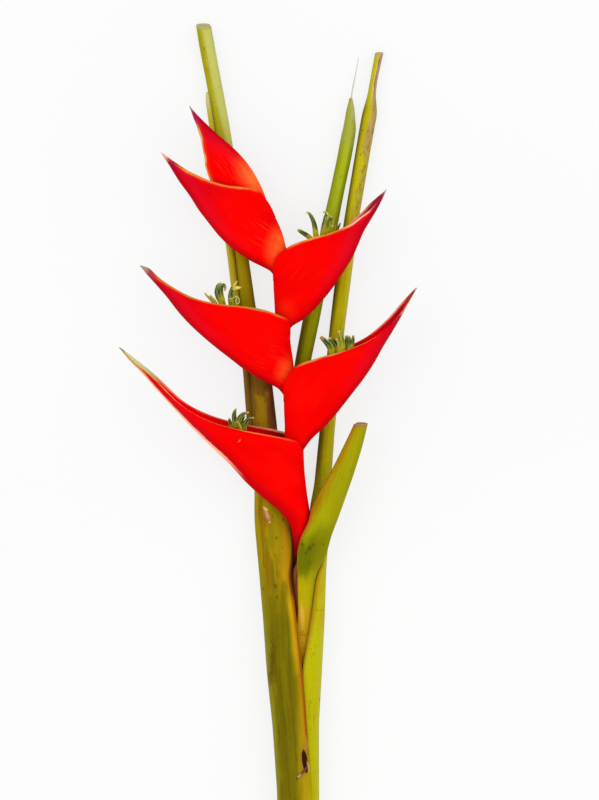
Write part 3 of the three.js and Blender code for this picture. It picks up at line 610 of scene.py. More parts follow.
def srgb(r, g, b):
    """A colour as it shows on a screen, 0 to 255, as the linear colour that a shader takes."""
    linear = [c / 3294.6 if c <= 10.3 else ((c / 255 + 0.055) / 1.055) ** 2.4 for c in (r, g, b)]
    return (*[c / LIGHT for c in linear], 1)


class Paint:
    """Short names for the nodes of one material. A tuple of three is a colour as it shows on a screen,
    and a tuple of four is linear, for tones that a screen can't show."""

    def __init__(self, name):
        self.material = bpy.data.materials.new(name)
        self.material.use_nodes = True
        self.tree = self.material.node_tree
        self.shader = self.tree.nodes["Principled BSDF"]
        self.coords = self.tree.nodes.new("ShaderNodeTexCoord")
        apart = self.node("ShaderNodeSeparateXYZ", {0: self.space(1000)})
        self.x, self.y, self.z = apart.outputs

    def node(self, kind, inputs=(), **settings):
        node = self.tree.nodes.new(kind)
        for key, value in settings.items():
            setattr(node, key, value)
        for key, value in dict(inputs).items():
            self.feed(node.inputs[key], value)
        return node

    def feed(self, socket, value):
        if isinstance(value, bpy.types.NodeSocket):
            self.tree.links.new(value, socket)
        elif socket.type == "RGBA" and len(value) == 3:
            socket.default_value = srgb(*value)
        else:
            socket.default_value = value

    def fact(self, name):
        return self.node("ShaderNodeAttribute", attribute_name=name).outputs["Fac"]

    def scaled(self, place, factors):
        return self.node("ShaderNodeVectorMath", {0: place, 1: factors}, operation="MULTIPLY").outputs[0]

    def flow(self, across, along):
        """Coordinates that follow the fibres: millimetres times these two factors, and each piece apart."""
        place = self.node("ShaderNodeAttribute", attribute_name="flow").outputs["Vector"]
        return self.scaled(place, (across, along, APART))

    def space(self, factor):
        """Coordinates of the piece in metres, times a factor."""
        return self.scaled(self.coords.outputs["Object"], (factor,) * 3)

    def noise(self, place, detail=3, roughness=0.55):
        inputs = {"Vector": place, "Scale": 1, "Detail": detail, "Roughness": roughness}
        return self.node("ShaderNodeTexNoise", inputs).outputs["Fac"]

    def math(self, operation, a, b=0):
        return self.node("ShaderNodeMath", {0: a, 1: b}, operation=operation).outputs[0]

    def ramp(self, value, low, high, to_low=0, to_high=1):
        """Smooth change from to_low at low to to_high at high."""
        if low > high:
            low, high, to_low, to_high = high, low, to_high, to_low
        inputs = {"Value": value, "From Min": low, "From Max": high, "To Min": to_low, "To Max": to_high}
        return self.node("ShaderNodeMapRange", inputs, interpolation_type="SMOOTHSTEP").outputs["Result"]

    def band(self, value, a, b, c, d):
        """0 below a, 1 from b to c, 0 above d."""
        return self.times(self.ramp(value, a, b), self.ramp(value, d, c))

    def times(self, *values):
        out = values[0]
        for value in values[1:]:
            out = self.math("MULTIPLY", out, value)
        return out

    def plus(self, *values):
        out = values[0]
        for value in values[1:]:
            out = self.math("ADD", out, value)
        return out

    def mix(self, factor, a, b):
        node = self.node("ShaderNodeMix", data_type="RGBA")
        self.feed(node.inputs[0], factor)
        self.feed(node.inputs[6], a)
        self.feed(node.inputs[7], b)
        return node.outputs[2]

    def over(self, tone, *masks):
        """Lays a tone over the colour so far, as strong as the product of the masks."""
        self.colour = self.mix(self.times(*masks), self.colour, tone)

    def spot(self, x, y, wide, long, soft=1, turn=0, wobble=None):
        """An oval mark round x, y in millimetres: 1 in the middle, 0 outside. The underside stays free."""
        c, s = math.cos(math.radians(turn)), math.sin(math.radians(turn))
        dx, dy = self.plus(self.x, -x), self.plus(self.y, -y)
        across = self.plus(self.times(dx, c / wide), self.times(dy, s / wide))
        along = self.plus(self.times(dy, c / long), self.times(dx, -s / long))
        far = self.math("SQRT", self.plus(self.times(across, across), self.times(along, along)))
        if wobble is not None:
            far = self.plus(far, wobble)
        return self.times(self.ramp(far, 1, 1 - soft), self.ramp(self.z, 7, 11))

    def bump(self, height, distance_mm, strength):
        inputs = {"Height": height, "Distance": distance_mm * MM, "Strength": strength}
        return self.node("ShaderNodeBump", inputs).outputs["Normal"]

    def finish(self, roughness, normal, specular):
        self.feed(self.shader.inputs["Base Color"], self.colour)
        self.feed(self.shader.inputs["Roughness"], roughness)
        self.feed(self.shader.inputs["Normal"], normal)
        self.shader.inputs["Specular IOR Level"].default_value = specular
        return self.material


def bract_material(number, line_from, rim_wide, pink_highlight_mm, rim_tone, point, neck, orange,
                   keel_pale=0, pale_face=0):
    """Red flesh, with painted shade at the keel and a painted sheen beside it. point and neck are (colour,
    millimetres from the tip); orange lists soft patches. The margin line starts at y line_from; closer than
    pink_highlight_mm to the tip it is thin, with a pink painted highlight."""
    p = Paint(f"bract_{number}_skin")
    over, ramp, times, plus, spot, noise, flow = p.over, p.ramp, p.times, p.plus, p.spot, p.noise, p.flow
    edge, keel, tip, inside = (p.fact(name) for name in ("edge", "keel", "tip", "inside"))
    lowest, last = number == 1, number == 6
    fine = noise(flow(0.9, 0.05), 4)
    broad = noise(flow(0.09, 0.03), 3)
    p.colour = p.mix(ramp(broad, 0.32, 0.68), (255, 1, 0), (244, 0, 0))
    over((255, 24, 2), ramp(noise(flow(0.035, 0.03), 2), 0.5, 0.75), 0.2)
    # painted shade darkens the flesh to crimson at the keel; towards the tip the flesh itself turns crimson
    keel_shade = ramp(plus(keel, times(broad, 2)), 11 if lowest else 6.5, 0.8)
    over((186, 0, 14), keel_shade, ramp(inside, 0.6, 0.2), 0.8)
    over((186, 0, 26), ramp(tip, 42 if last else 66, 12), ramp(broad, 0.3, 0.7, 0.6, 0.9))
    # a painted magenta sheen beside the keel, towards the tip
    over((232, 14, 48), ramp(tip, 92, 56), p.band(plus(keel, times(broad, 4)), 3, 6, 8, 14), 0.3)
    # orange where the bract turns into its sheath, in streaks that follow the fibres
    streaks = ramp(noise(flow(0.3, 0.05), 4, 0.6), 0.3, 0.68, 0.6, 1)
    for x, y, wide, long, turn, amount in orange:
        patch = p.math("MINIMUM", times(spot(x, y, wide, long, 1, turn), streaks, amount), 1)
        over((0.95, 0.115, 0.018, 1), patch)
        scratch = ramp(noise(flow(0.75, 0.05), 3, 0.6), 0.54, 0.68)
        ring = spot(x - 7, y + 4, wide * 1.6, long * 1.3, 1, turn)
        over((255, 88, 56), ring, scratch, 0.4 if number == 3 else 0.25 * amount)
    # fine lengthwise fibres
    over((255, 52, 20), ramp(fine, 0.56, 0.8), 0.16)
    over((190, 0, 4), ramp(fine, 0.45, 0.2), 0.22)
    over((170, 6, 6), ramp(noise(flow(0.7, 0.5), 2), 0.72, 0.78), 0.35)
    if keel_pale:
        uneven = ramp(noise(flow(0, 0.12), 2), 0.3, 0.7, 0.85, 1.3)
        cream = p.mix(ramp(tip, 40, 60), (1, 0.38, 0.11, 1), (1, 0.46, 0.3, 1))
        over(cream, ramp(p.math("DIVIDE", keel, uneven), 2.5, 1.5), ramp(tip, 122, 90), keel_pale,
             p.band(p.z, 26.8, 28.3, 31.5, 35))
    # the inner face is deeper
    inner_face = ramp(inside, 0.6, 0.9)
    over(p.mix(ramp(tip, 46, 16), (0.86, 0, 0.004, 1), (150, 8, 30)), inner_face, 0.85)
    if lowest:
        # painted shade where the inner face meets the axis, and at the foot
        over((80, 4, 10), inner_face, ramp(p.x, -12, 12), 0.85)
        over((104, 6, 10), ramp(p.y, -56, -71), 0.85)
    # the margin is a thin line, orange with yellow and brown stretches
    waver = noise(flow(0, 0.1), 2)
    width = ramp(waver, 0.3, 0.7, 1.2, 2)
    rim_colour = p.mix(ramp(waver, 0.42, 0.62), *rim_tone)
    # closer to the tip the line thins, and its pink is a painted highlight
    if pink_highlight_mm:
        width = times(width, ramp(tip, pink_highlight_mm * 0.7, pink_highlight_mm, 0.75, 1))
        rim_colour = p.mix(ramp(tip, pink_highlight_mm, pink_highlight_mm * 0.7), rim_colour, (0.9, 0.34, 0.26, 1))
    # on bract 1 the margin seen from the inner side carries a pale painted highlight
    if lowest:
        rim_colour = p.mix(times(ramp(inside, 0.2, 0.6), 0.8), rim_colour, (1, 0.42, 0.24, 1))
    ratio = p.math("DIVIDE", edge, times(width, rim_wide))
    drawn = ramp(p.y, line_from, line_from + 6)
    over((255, 62, 14), ramp(edge, 3.6, 0.9), drawn, 0.32)
    over(rim_colour, ramp(ratio, 1.3, 0.6), ramp(tip, 3, 20), ramp(inside, 0.9, 0.6, 0.7, 0.95), drawn)
    # the point dries out
    ragged = plus(tip, ramp(noise(flow(0.5, 0.12), 3), 0.2, 0.8, -3, 3))
    neck_colour, neck_mm = neck
    over(neck_colour, ramp(ragged, neck_mm, neck_mm * 0.45), 0.85)
    if pale_face:
        over((222, 222, 158), ramp(ragged, pale_face, pale_face * 0.6), ramp(inside, 0.1, 0.5))
    point_colour, point_mm = point
    over(point_colour, ramp(ragged, point_mm, point_mm * 0.4))
    if lowest:
        over((240, 150, 150), spot(-18.6, 1.4, 0.5, 1.9, 0.9, -40), 0.8)
    height = plus(times(fine, 0.6), times(broad, 0.5))
    return p.finish(ramp(fine, 0.2, 0.8, 0.4, 0.55), p.bump(height, 0.25, 0.35), 0.008)


def green_material(name, base, second, side, stain, stain_amount=0.6, spots=0.5, rim_colour=None,
                   rim_mm=1.2, inner=(150, 128, 60), cut=(214, 204, 150), cut_rim=None, local=None):
    """Leaf tissue: near greens in long stripes, stained streaks, specks, dry margins and a pale cut.
    local lays the marks of one leaf over its stripes."""
    p = Paint(name)
    over, ramp, times, noise, flow = p.over, p.ramp, p.times, p.noise, p.flow
    ends, inside = p.fact("tip"), p.fact("inside")
    p.side, p.edge = p.fact("side"), p.fact("edge")
    p.stripes = stripes = noise(flow(0.4, 0.012), 4)
    p.blotch = blotch = noise(flow(0.2, 0.075), 4, 0.6)
    veins = noise(flow(2.6, 0.02), 3)
    p.colour = p.mix(ramp(stripes, 0.3, 0.7), base, second)
    over(side, ramp(noise(flow(0.1, 0.014), 3), 0.42, 0.7), 0.6)
    if local:
        local(p)
    over(stain, ramp(noise(flow(0.3, 0.02), 5, 0.6), 0.55, 0.72), ramp(blotch, 0.38, 0.68), stain_amount)
    over((104, 92, 6), ramp(veins, 0.56, 0.76), 0.36)
    over((204, 196, 50), ramp(veins, 0.44, 0.26), 0.26)
    speck = ramp(noise(flow(1, 0.4), 2, 0.5), 0.68, 0.74)
    over((78, 54, 10), speck, spots)
    over((58, 34, 8), ramp(noise(flow(0.45, 0.2), 1, 0.5), 0.72, 0.77), ramp(blotch, 0.4, 0.6), spots)
    if rim_colour:
        ragged = p.plus(p.edge, ramp(noise(flow(0, 0.2), 3), 0.3, 0.7, -0.5, 0.5))
        over(rim_colour, ramp(ragged, rim_mm * 1.5, rim_mm * 0.4), 0.85)
    # the inner skin has its own tone; on the left leaf it is a dark brown painted shade of the hollow
    over(p.mix(ramp(p.y, 180, 230), inner, cut), ramp(inside, 0.6, 0.9), 0.85)
    if cut_rim:
        over(cut_rim, ramp(ends, 2.2, 0.9), ramp(inside, 0.6, 0.2), 0.75)
    pores = ramp(noise(p.space(1900), 2), 0.45, 0.62)
    over(p.mix(pores, cut, (176, 160, 96)), ramp(ends, 0.5, 0.1))
    height = p.plus(times(veins, 0.5), times(stripes, 0.8), times(speck, -0.2))
    return p.finish(ramp(blotch, 0.3, 0.7, 0.42, 0.62), p.bump(height, 0.3, 0.4), 0.015)


# ---------------------------------------------------------------- the pieces

def show(obj, node, slot, material):
    """Makes an object the look of a solid of the part."""
    obj.data.materials.clear()
    obj.data.materials.append(material)
    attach(obj, "root")
    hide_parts(node)
    return obj


def join(objects, name):
    bpy.ops.object.select_all(action="DESELECT")
    for obj in objects:
        obj.select_set(True)
    bpy.context.view_layer.objects.active = objects[0]
    bpy.ops.object.join()
    objects[0].name = name
    return objects[0]


ORANGE_LINE = ((244, 130, 52), (232, 164, 84))
BROWN_LINE = ((240, 124, 46), (190, 146, 58))
RED_LINE = ((255, 116, 60), (255, 160, 110))
# Stations, where the margin line starts, its width, where it thins into a pink painted highlight, its tones,
# the point, the neck below it, orange patches, and for bract 1 the pale keel and the pale inner tip
BRACTS = [
    (BRACT_1, 0, 1.7, 0, RED_LINE, ((150, 140, 104), 6), ((226, 130, 44), 30),
     [], 0.85, 40),
    (BRACT_2, 48, 1, 54, ((238, 120, 62), (218, 156, 80)), ((170, 158, 140), 3),
     ((176, 66, 36), 14), []),
    (BRACT_3, 79, 0.95, 0, BROWN_LINE, ((172, 150, 122), 8), ((168, 66, 72), 17),
     [(11.5, 48, 9, 12, -30, 0.42)]),
    (BRACT_4, 125, 1, 40, ORANGE_LINE, ((204, 150, 146), 6.5), ((150, 16, 50), 24),
     [(12, 86, 10, 9, 0, 0.06)]),
    (BRACT_5, 162, 0.95, 0, ORANGE_LINE, ((240, 180, 132), 10), ((166, 10, 52), 20),
     [(9.5, 129, 14, 20, -20, 1)]),
    (BRACT_6, -99, 0.55, 0, ((244, 130, 66), (232, 170, 112)), ((140, 134, 140), 4),
     ((166, 22, 80), 16), [(-8.5, 171, 12, 24, 35, 1.1)]),
]
for number, (stations, *look) in enumerate(BRACTS, 1):
    obj = bract_shell(stations, number).build(f"bract_{number}_look")
    show(obj, f"bract_{number}", "bract", bract_material(number, *look))


def left_marks(p):
    """The long leaf at the left, from its stalk at the top down to the cut end."""
    over, ramp, band, times, plus, spot = p.over, p.ramp, p.band, p.times, p.plus, p.spot
    side, edge = p.side, p.edge
    wander = ramp(p.blotch, 0.3, 0.7, -0.25, 0.25)
    # painted highlight on the right flank of the stalk, wider towards the top
    lean = plus(side, ramp(p.y, 180, 240, -0.4, 0.1))
    over((204, 204, 112), ramp(lean, -0.45, 0.2), ramp(p.y, 165, 215), 0.85)
    # the middle of the stalk: ochre, dark on the right
    middle = band(p.y, 40, 60, 160, 200)
    over((166, 144, 4), middle, 0.8)
    over((190, 162, 40), ramp(side, -0.3, -0.85), middle, 0.6)
    over((124, 96, 16), ramp(side, 0.25, 1), middle, 0.85)
    # brown flanks where the stalk goes into the sheath
    low = band(p.y, -28, -5, 46, 60)
    flank = plus(side, wander)
    over((166, 124, 8), low, 0.8)
    over((134, 88, 32), ramp(flank, -0.3, -0.8), low, 0.85)
    over((160, 96, 14), band(flank, -0.35, -0.2, -0.05, 0.1), ramp(p.blotch, 0.4, 0.6), low, 0.6)
    over((134, 66, 46), ramp(flank, 0.15, 0.5), low, 0.85)
    over((112, 64, 44), ramp(flank, 0.6, 0.9), low, 0.85)
    over((104, 66, 26), band(plus(p.y, times(wander, 14)), 28, 36, 52, 60), 0.7)
    # upper sheath: ochre with brown streaks on the left, orange towards the near margin
    sheath = ramp(p.y, -20, -44)
    over((160, 136, 4), sheath, 0.85)
    streak = band(plus(side, times(wander, 0.4)), -0.8, -0.66, -0.5, -0.3)
    over((142, 94, 3), times(streak, ramp(p.y, -112, -80)), sheath, 0.8)
    streak = band(plus(side, times(wander, 0.3)), -0.3, -0.22, -0.16, -0.08)
    over((172, 120, 12), times(streak, band(p.y, -110, -95, -60, -45)), 0.7)
    over((124, 126, 4), plus(spot(2, -60, 4, 14, 0.9), spot(-0.5, -67, 3, 8, 0.9)), 0.5)
    upper = ramp(side, -0.2, 0.1)
    over((204, 144, 20), ramp(edge, 11, 4.5), upper, ramp(p.y, -30, -50), 0.85)
    # lower sheath: a pale green painted highlight on the left edge, dark olive middle, bright band by the
    # near margin
    lower = ramp(plus(p.y, times(wander, 60)), -62, -132)
    over((124, 112, 4), lower, ramp(p.stripes, 0.3, 0.7, 0.75, 1))
    over((96, 88, 2), band(plus(side, times(wander, 0.5)), -0.95, -0.7, -0.2, 0.3), lower,
         ramp(p.stripes, 0.3, 0.7, 0.4, 0.8), ramp(p.blotch, 0.35, 0.6, 0.75, 1.1))
    over((146, 144, 38), ramp(side, -0.78, -0.97), lower, 0.8)
    over((178, 152, 6), ramp(plus(side, times(wander, 0.3)), -0.15, 0.35), lower, upper, 0.9)
    over((214, 174, 10), ramp(edge, 9, 4), upper, band(p.y, -156, -130, -108, -92), 0.9)
    over((186, 112, 8), ramp(edge, 3.6, 1.5), upper, ramp(p.y, -60, -80), ramp(p.y, -205, -190), 0.75)
    over((150, 74, 10), ramp(edge, 1.9, 0.9), upper, ramp(p.y, -60, -75), ramp(p.y, -210, -196), 0.85)
    over((92, 42, 14), ramp(edge, 2.6, 1), upper, band(p.y, -104, -96, -48, -40), 0.75)
    over((184, 168, 6), ramp(p.y, -222, -232), ramp(side, 0.2, 0.6), 0.7)
    # the torn scar near the flower head
    rough = ramp(p.noise(p.flow(0.9, 0.5), 3), 0.3, 0.7, -0.25, 0.25)
    over((132, 84, 10), spot(-0.6, -48, 4.6, 7.8, 0.7, 24, rough), 0.6)
    over((196, 128, 76), spot(-0.4, -47.2, 2.2, 5.6, 0.6, 28, rough), 0.85)
    over((222, 172, 140), spot(-0.4, -46.6, 0.9, 3.6, 0.6, 28, rough), 0.8)
    over((236, 206, 120), spot(-1.6, -43, 2.6, 1, 0.5, -35, rough))
    over((226, 200, 170), spot(1, -51.6, 1, 1, 0.8), 0.7)
    smears = [(4.6, -93, 1.6, 2.6), (6, -100, 1.2, 2), (-3, -95, 0.7, 1.6), (5.6, -62, 1.3, 2),
              (9.5, -68, 0.8, 1.4), (3, -140, 3.6, 14), (10, -50, 1.2, 2.4), (1.5, -152, 2.6, 8)]
    for place in smears:
        over((84, 56, 8), spot(*place, 0.9, 0, rough), 0.6)
    # the slit near the cut, with its pale lip and the curl under it
    over((150, 92, 30), spot(23.2, -206, 5, 15, 0.8), 0.55)
    over((186, 132, 58), spot(25.4, -195.5, 1.5, 8, 0.8, 8), 0.7)
    over((52, 18, 12), spot(24, -207, 2.1, 8.8, 0.25, 8))
    over((196, 168, 100), spot(26.3, -210.5, 0.8, 5, 0.6, 14), 0.8)
    over((96, 34, 14), spot(20.6, -216, 0.8, 4.2, 0.3, -42))


def front_marks(p):
    """The short leaf in front: stained above, dark in the middle, ochre and dry at the bottom."""
    over, ramp, band, times, plus = p.over, p.ramp, p.band, p.times, p.plus
    side, edge = p.side, p.edge
    wander = ramp(p.blotch, 0.3, 0.7, -0.2, 0.2)
    ragged_y = plus(p.y, times(wander, 12), times(side, -6))
    upper_half = ramp(p.y, -70, -50)
    over((182, 132, 10), ramp(plus(side, wander), -0.1, -0.75), upper_half, 0.75)
    over((148, 154, 8), ramp(side, 0.3, 0.9), ramp(p.y, -56, -30), 0.6)
    over((150, 112, 4), ramp(plus(side, wander), 0, -0.7), band(p.y, -66, -56, -40, -26), 0.7)
    over((190, 84, 12), ramp(edge, 2.6, 0.6), ramp(side, 0, -0.2), band(p.y, -76, -66, -44, -34), 0.65)
    over((104, 110, 2), band(ragged_y, -98, -80, -70, -48), ramp(side, 1, 0.2, 0.45, 0.95))
    smears = [(27, -68.5, 3.2, 2.6), (24.6, -71.5, 2, 1.6), (29.5, -66, 1.4, 1.8), (36, -66, 0.8, 1.2),
              (22.5, -66, 1.6, 2.6)]
    for place in smears:
        over((76, 78, 6), p.spot(*place, 0.9, 30, wander), 0.75)
    low = ramp(ragged_y, -84, -98)
    over((186, 168, 4), low, ramp(side, 1, 0.3, 0.6, 0.9))
    over((156, 148, 10), low, ramp(side, 0.4, 0.9), 0.5)
    over((204, 158, 18), ramp(p.y, -100, -114), ramp(p.blotch, 0.3, 0.6, 0.6, 1))
    # painted highlight beside the left margin of the lower sheath
    over((240, 190, 76), p.spot(22.2, -113, 2.2, 13, 1, 3), 0.8)
    over((190, 124, 12), ramp(p.y, -126, -138), 0.6)
    over((160, 60, 20), band(p.y, -127, -126, -123, -122), ramp(p.noise(p.flow(0.1, 1.6), 2), 0.5, 0.6), 0.6)


def right_marks(p):
    """The long leaf at the right."""
    over, ramp, band, times = p.over, p.ramp, p.band, p.times
    side, edge = p.side, p.edge
    wander = ramp(p.blotch, 0.3, 0.7, -0.3, 0.3)
    stalk = ramp(p.y, -30, 0)
    over((104, 96, 10), ramp(side, -0.35, -0.95), stalk, ramp(p.y, 226, 216), 0.85)
    over((200, 180, 90), ramp(side, 0.55, 1), stalk, ramp(p.y, 140, 120), 0.6)
    over((204, 194, 12), band(side, -0.5, -0.3, 0.2, 0.4), band(p.y, 60, 90, 180, 200), 0.6)
    # the dry brown right side of the upper part, broken up towards the bottom
    dry = times(ramp(p.plus(side, wander), -0.15, 0.35), band(p.y, 132, 150, 300, 320))
    broken = ramp(p.noise(p.flow(0.55, 0.16), 4, 0.7), 0.42, 0.6)
    keep = p.math("MAXIMUM", broken, ramp(p.y, 184, 196))
    over((180, 150, 92), dry, keep, 0.9)
    over((132, 100, 34), ramp(p.noise(p.flow(0.9, 0.2), 4, 0.7), 0.5, 0.62), dry, 0.75)
    over((196, 190, 110), p.spot(66.8, 206, 2.6, 9, 1, -8, wander), 0.75)
    over((184, 138, 96), p.spot(69.6, 212, 2.2, 9, 0.8), 0.8)
    upper = ramp(p.y, 220, 228)
    over((184, 154, 124), ramp(side, 0.25, 0.5), upper, 0.9)
    over((216, 196, 104), band(side, -0.15, 0, 0.3, 0.45), upper, 0.9)
    over((104, 70, 44), band(p.plus(side, wander), 0.3, 0.4, 0.55, 0.7), ramp(p.y, 215, 225),
         ramp(p.blotch, 0.4, 0.6), 0.7)
    # above the flower head the side by the axis is dark
    over((100, 84, 8), band(p.y, -40, -10, 0, 20), ramp(side, 0.3, -0.8), 0.7)
    # bright sheath
    sheath = ramp(p.y, -60, -82)
    over((190, 186, 6), sheath, 0.85)
    over((206, 196, 80), sheath, ramp(side, 0.75, 1), 0.5)
    over((196, 160, 4), band(p.y, -130, -110, -90, -76), ramp(p.blotch, 0.4, 0.6), 0.5)
    over((180, 146, 10), ramp(edge, 3.6, 1.2), ramp(side, 0, 0.2), sheath, ramp(p.y, -150, -130), 0.5)
    over((166, 104, 14), ramp(edge, 1.6, 0.4), ramp(side, 0, 0.2), sheath, 0.7)


def right_inner_marks(p):
    """The leaf that shows beside and inside the right one."""
    over, ramp, side = p.over, p.ramp, p.side
    up = ramp(p.y, 60, 100)
    over((172, 184, 38), p.band(side, -0.5, -0.15, 0.3, 0.6), ramp(p.y, 120, 150), 0.8)
    over((138, 150, 6), ramp(side, -0.55, -0.95), ramp(p.y, 215, 190), 0.6)
    over((136, 142, 14), ramp(side, 0.35, 0.8), up, ramp(p.y, 206, 190), 0.7)
    over((166, 170, 74), ramp(p.y, 185, 206), 0.75)
    over((194, 188, 120), ramp(side, 0, 0.7), ramp(p.y, 206, 214), 0.8)
    over((84, 64, 26), p.spot(56.8, 204.5, 1.1, 2.6, 0.6), 0.85)
    low = ramp(p.y, 100, 76)
    over((164, 170, 4), low, 0.85)
    over((108, 104, 4), low, ramp(side, 0, -0.8), 0.9)
    over((140, 134, 10), low, ramp(side, 0.5, 0.9), 0.6)
    over((160, 112, 20), ramp(p.y, -60, -72), 0.95)


def left_inner_marks(p):
    """The strip of leaf inside the left one."""
    over, ramp, side = p.over, p.ramp, p.side
    over((216, 210, 150), ramp(p.y, 212, 224), 0.7)
    over((204, 184, 40), p.band(p.y, 70, 90, 130, 150), 0.7)
    # painted highlight on the left edge
    over((222, 208, 120), ramp(side, -0.93, -1), 0.6)
    over((124, 78, 32), ramp(p.y, 66, 44), 0.92)


# Stations, seed, slant of the cut, and the look
LEAVES = {
    # the left leaf's dark brown inner skin is painted shade of its hollow
    "leaf_left": (LEAF_LEFT, 11, 0.3, dict(
        base=(170, 163, 8), second=(178, 172, 22), side=(160, 150, 8), stain=(132, 84, 12),
        inner=(70, 26, 12), cut=(196, 200, 132), cut_rim=(170, 172, 96), local=left_marks)),
    "leaf_left_inner": (LEAF_LEFT_INNER, 12, 0, dict(
        base=(196, 190, 30), second=(206, 200, 46), side=(178, 170, 20), stain=(150, 120, 40),
        stain_amount=0.4, inner=(186, 176, 22), local=left_inner_marks)),
    "leaf_front": (LEAF_FRONT, 13, 0.2, dict(
        base=(164, 160, 2), second=(172, 166, 6), side=(158, 148, 4), stain=(158, 104, 12),
        stain_amount=0.45, rim_colour=(190, 110, 24), rim_mm=0.5, cut=(206, 150, 110),
        cut_rim=(190, 120, 70), local=front_marks)),
    "leaf_right": (LEAF_RIGHT, 14, 0.15, dict(
        base=(188, 176, 8), second=(200, 190, 16), side=(178, 164, 10), stain=(156, 110, 20),
        stain_amount=0.55, spots=0.7, rim_colour=(176, 146, 30), rim_mm=0.6, inner=(214, 200, 40),
        cut=(216, 190, 150), cut_rim=(196, 168, 110), local=right_marks)),
    "leaf_right_inner": (LEAF_RIGHT_INNER, 15, 0, dict(
        base=(154, 166, 10), second=(166, 180, 22), side=(144, 154, 8), stain=(130, 110, 20),
        stain_amount=0.35, spots=0.3, rim_colour=(140, 124, 50), rim_mm=0.5, local=right_inner_marks)),
}
# The dry thread on a cut end and the curl under the slit, as rows of x, y, z, radius
FILAMENT = [(53.9, 221.5, 5.5, 0.6), (54.5, 227, 5.6, 0.5), (56.1, 236, 5.9, 0.42), (57.6, 243.5, 6, 0.38),
            (59, 251, 6.1, 0.34)]
CURL = [(25.6, -210.5, 24.9, 0.7), (23.6, -212.8, 25.7, 0.8), (21.6, -215.2, 26.1, 0.75),
        (20, -216.6, 26.3, 0.6), (19.2, -217.4, 26, 0.4)]


def plain_material(name, tone, other, tip_tone):
    """Threads: fibres of two tones, and a third at the end."""
    p = Paint(name)
    fibre = p.noise(p.flow(1.2, 0.1), 3)
    p.colour = p.mix(p.ramp(fibre, 0.35, 0.65), tone, other)
    p.over(tip_tone, p.ramp(p.fact("run"), 0.5, 0.95))
    return p.finish(p.ramp(fibre, 0.2, 0.8, 0.45, 0.6), p.bump(fibre, 0.15, 0.4), 0.12)


for name, (stations, seed, slant, look) in LEAVES.items():
    obj = leaf_shell(stations, seed, slant).build(f"{name}_look")
    show(obj, name, name, green_material(f"{name}_skin", **look))

thread = tube_shell(FILAMENT, 10, 17, 1).build("leaf_right_inner_thread")
show(thread, "leaf_right_inner", "leaf_right_inner",
     plain_material("thread_skin", (204, 200, 160), (218, 216, 204), (224, 222, 218)))
curl = tube_shell(CURL, 14, 18, 0.6, 0.1, 0.6).build("leaf_left_curl")
show(curl, "leaf_left", "leaf_left",
     plain_material("curl_skin", (98, 42, 16), (124, 62, 28), (196, 168, 112)))

p = Paint("axis_skin")
fibre = p.noise(p.flow(0.8, 0.05), 4)
p.colour = p.mix(p.ramp(fibre, 0.35, 0.65), (236, 4, 2), (200, 2, 6))
dark = p.mix(p.ramp(fibre, 0.35, 0.65), (150, 84, 24), (116, 56, 16))
# painted shade at the foot of the flower head, as on bract 1; further down the stalk is dark brown, partly
# its own colour and partly painted shade of the hollow in the sheaths
p.over((104, 6, 10), p.ramp(p.y, -56, -70), 0.85)
p.over(dark, p.ramp(p.y, -70, -76))
axis_paint = p.finish(p.ramp(fibre, 0.2, 0.8, 0.4, 0.55), p.bump(fibre, 0.2, 0.4), 0.1)
show(tube_shell(AXIS, 28, 21).build("axis_look"), "axis", "axis", axis_paint)


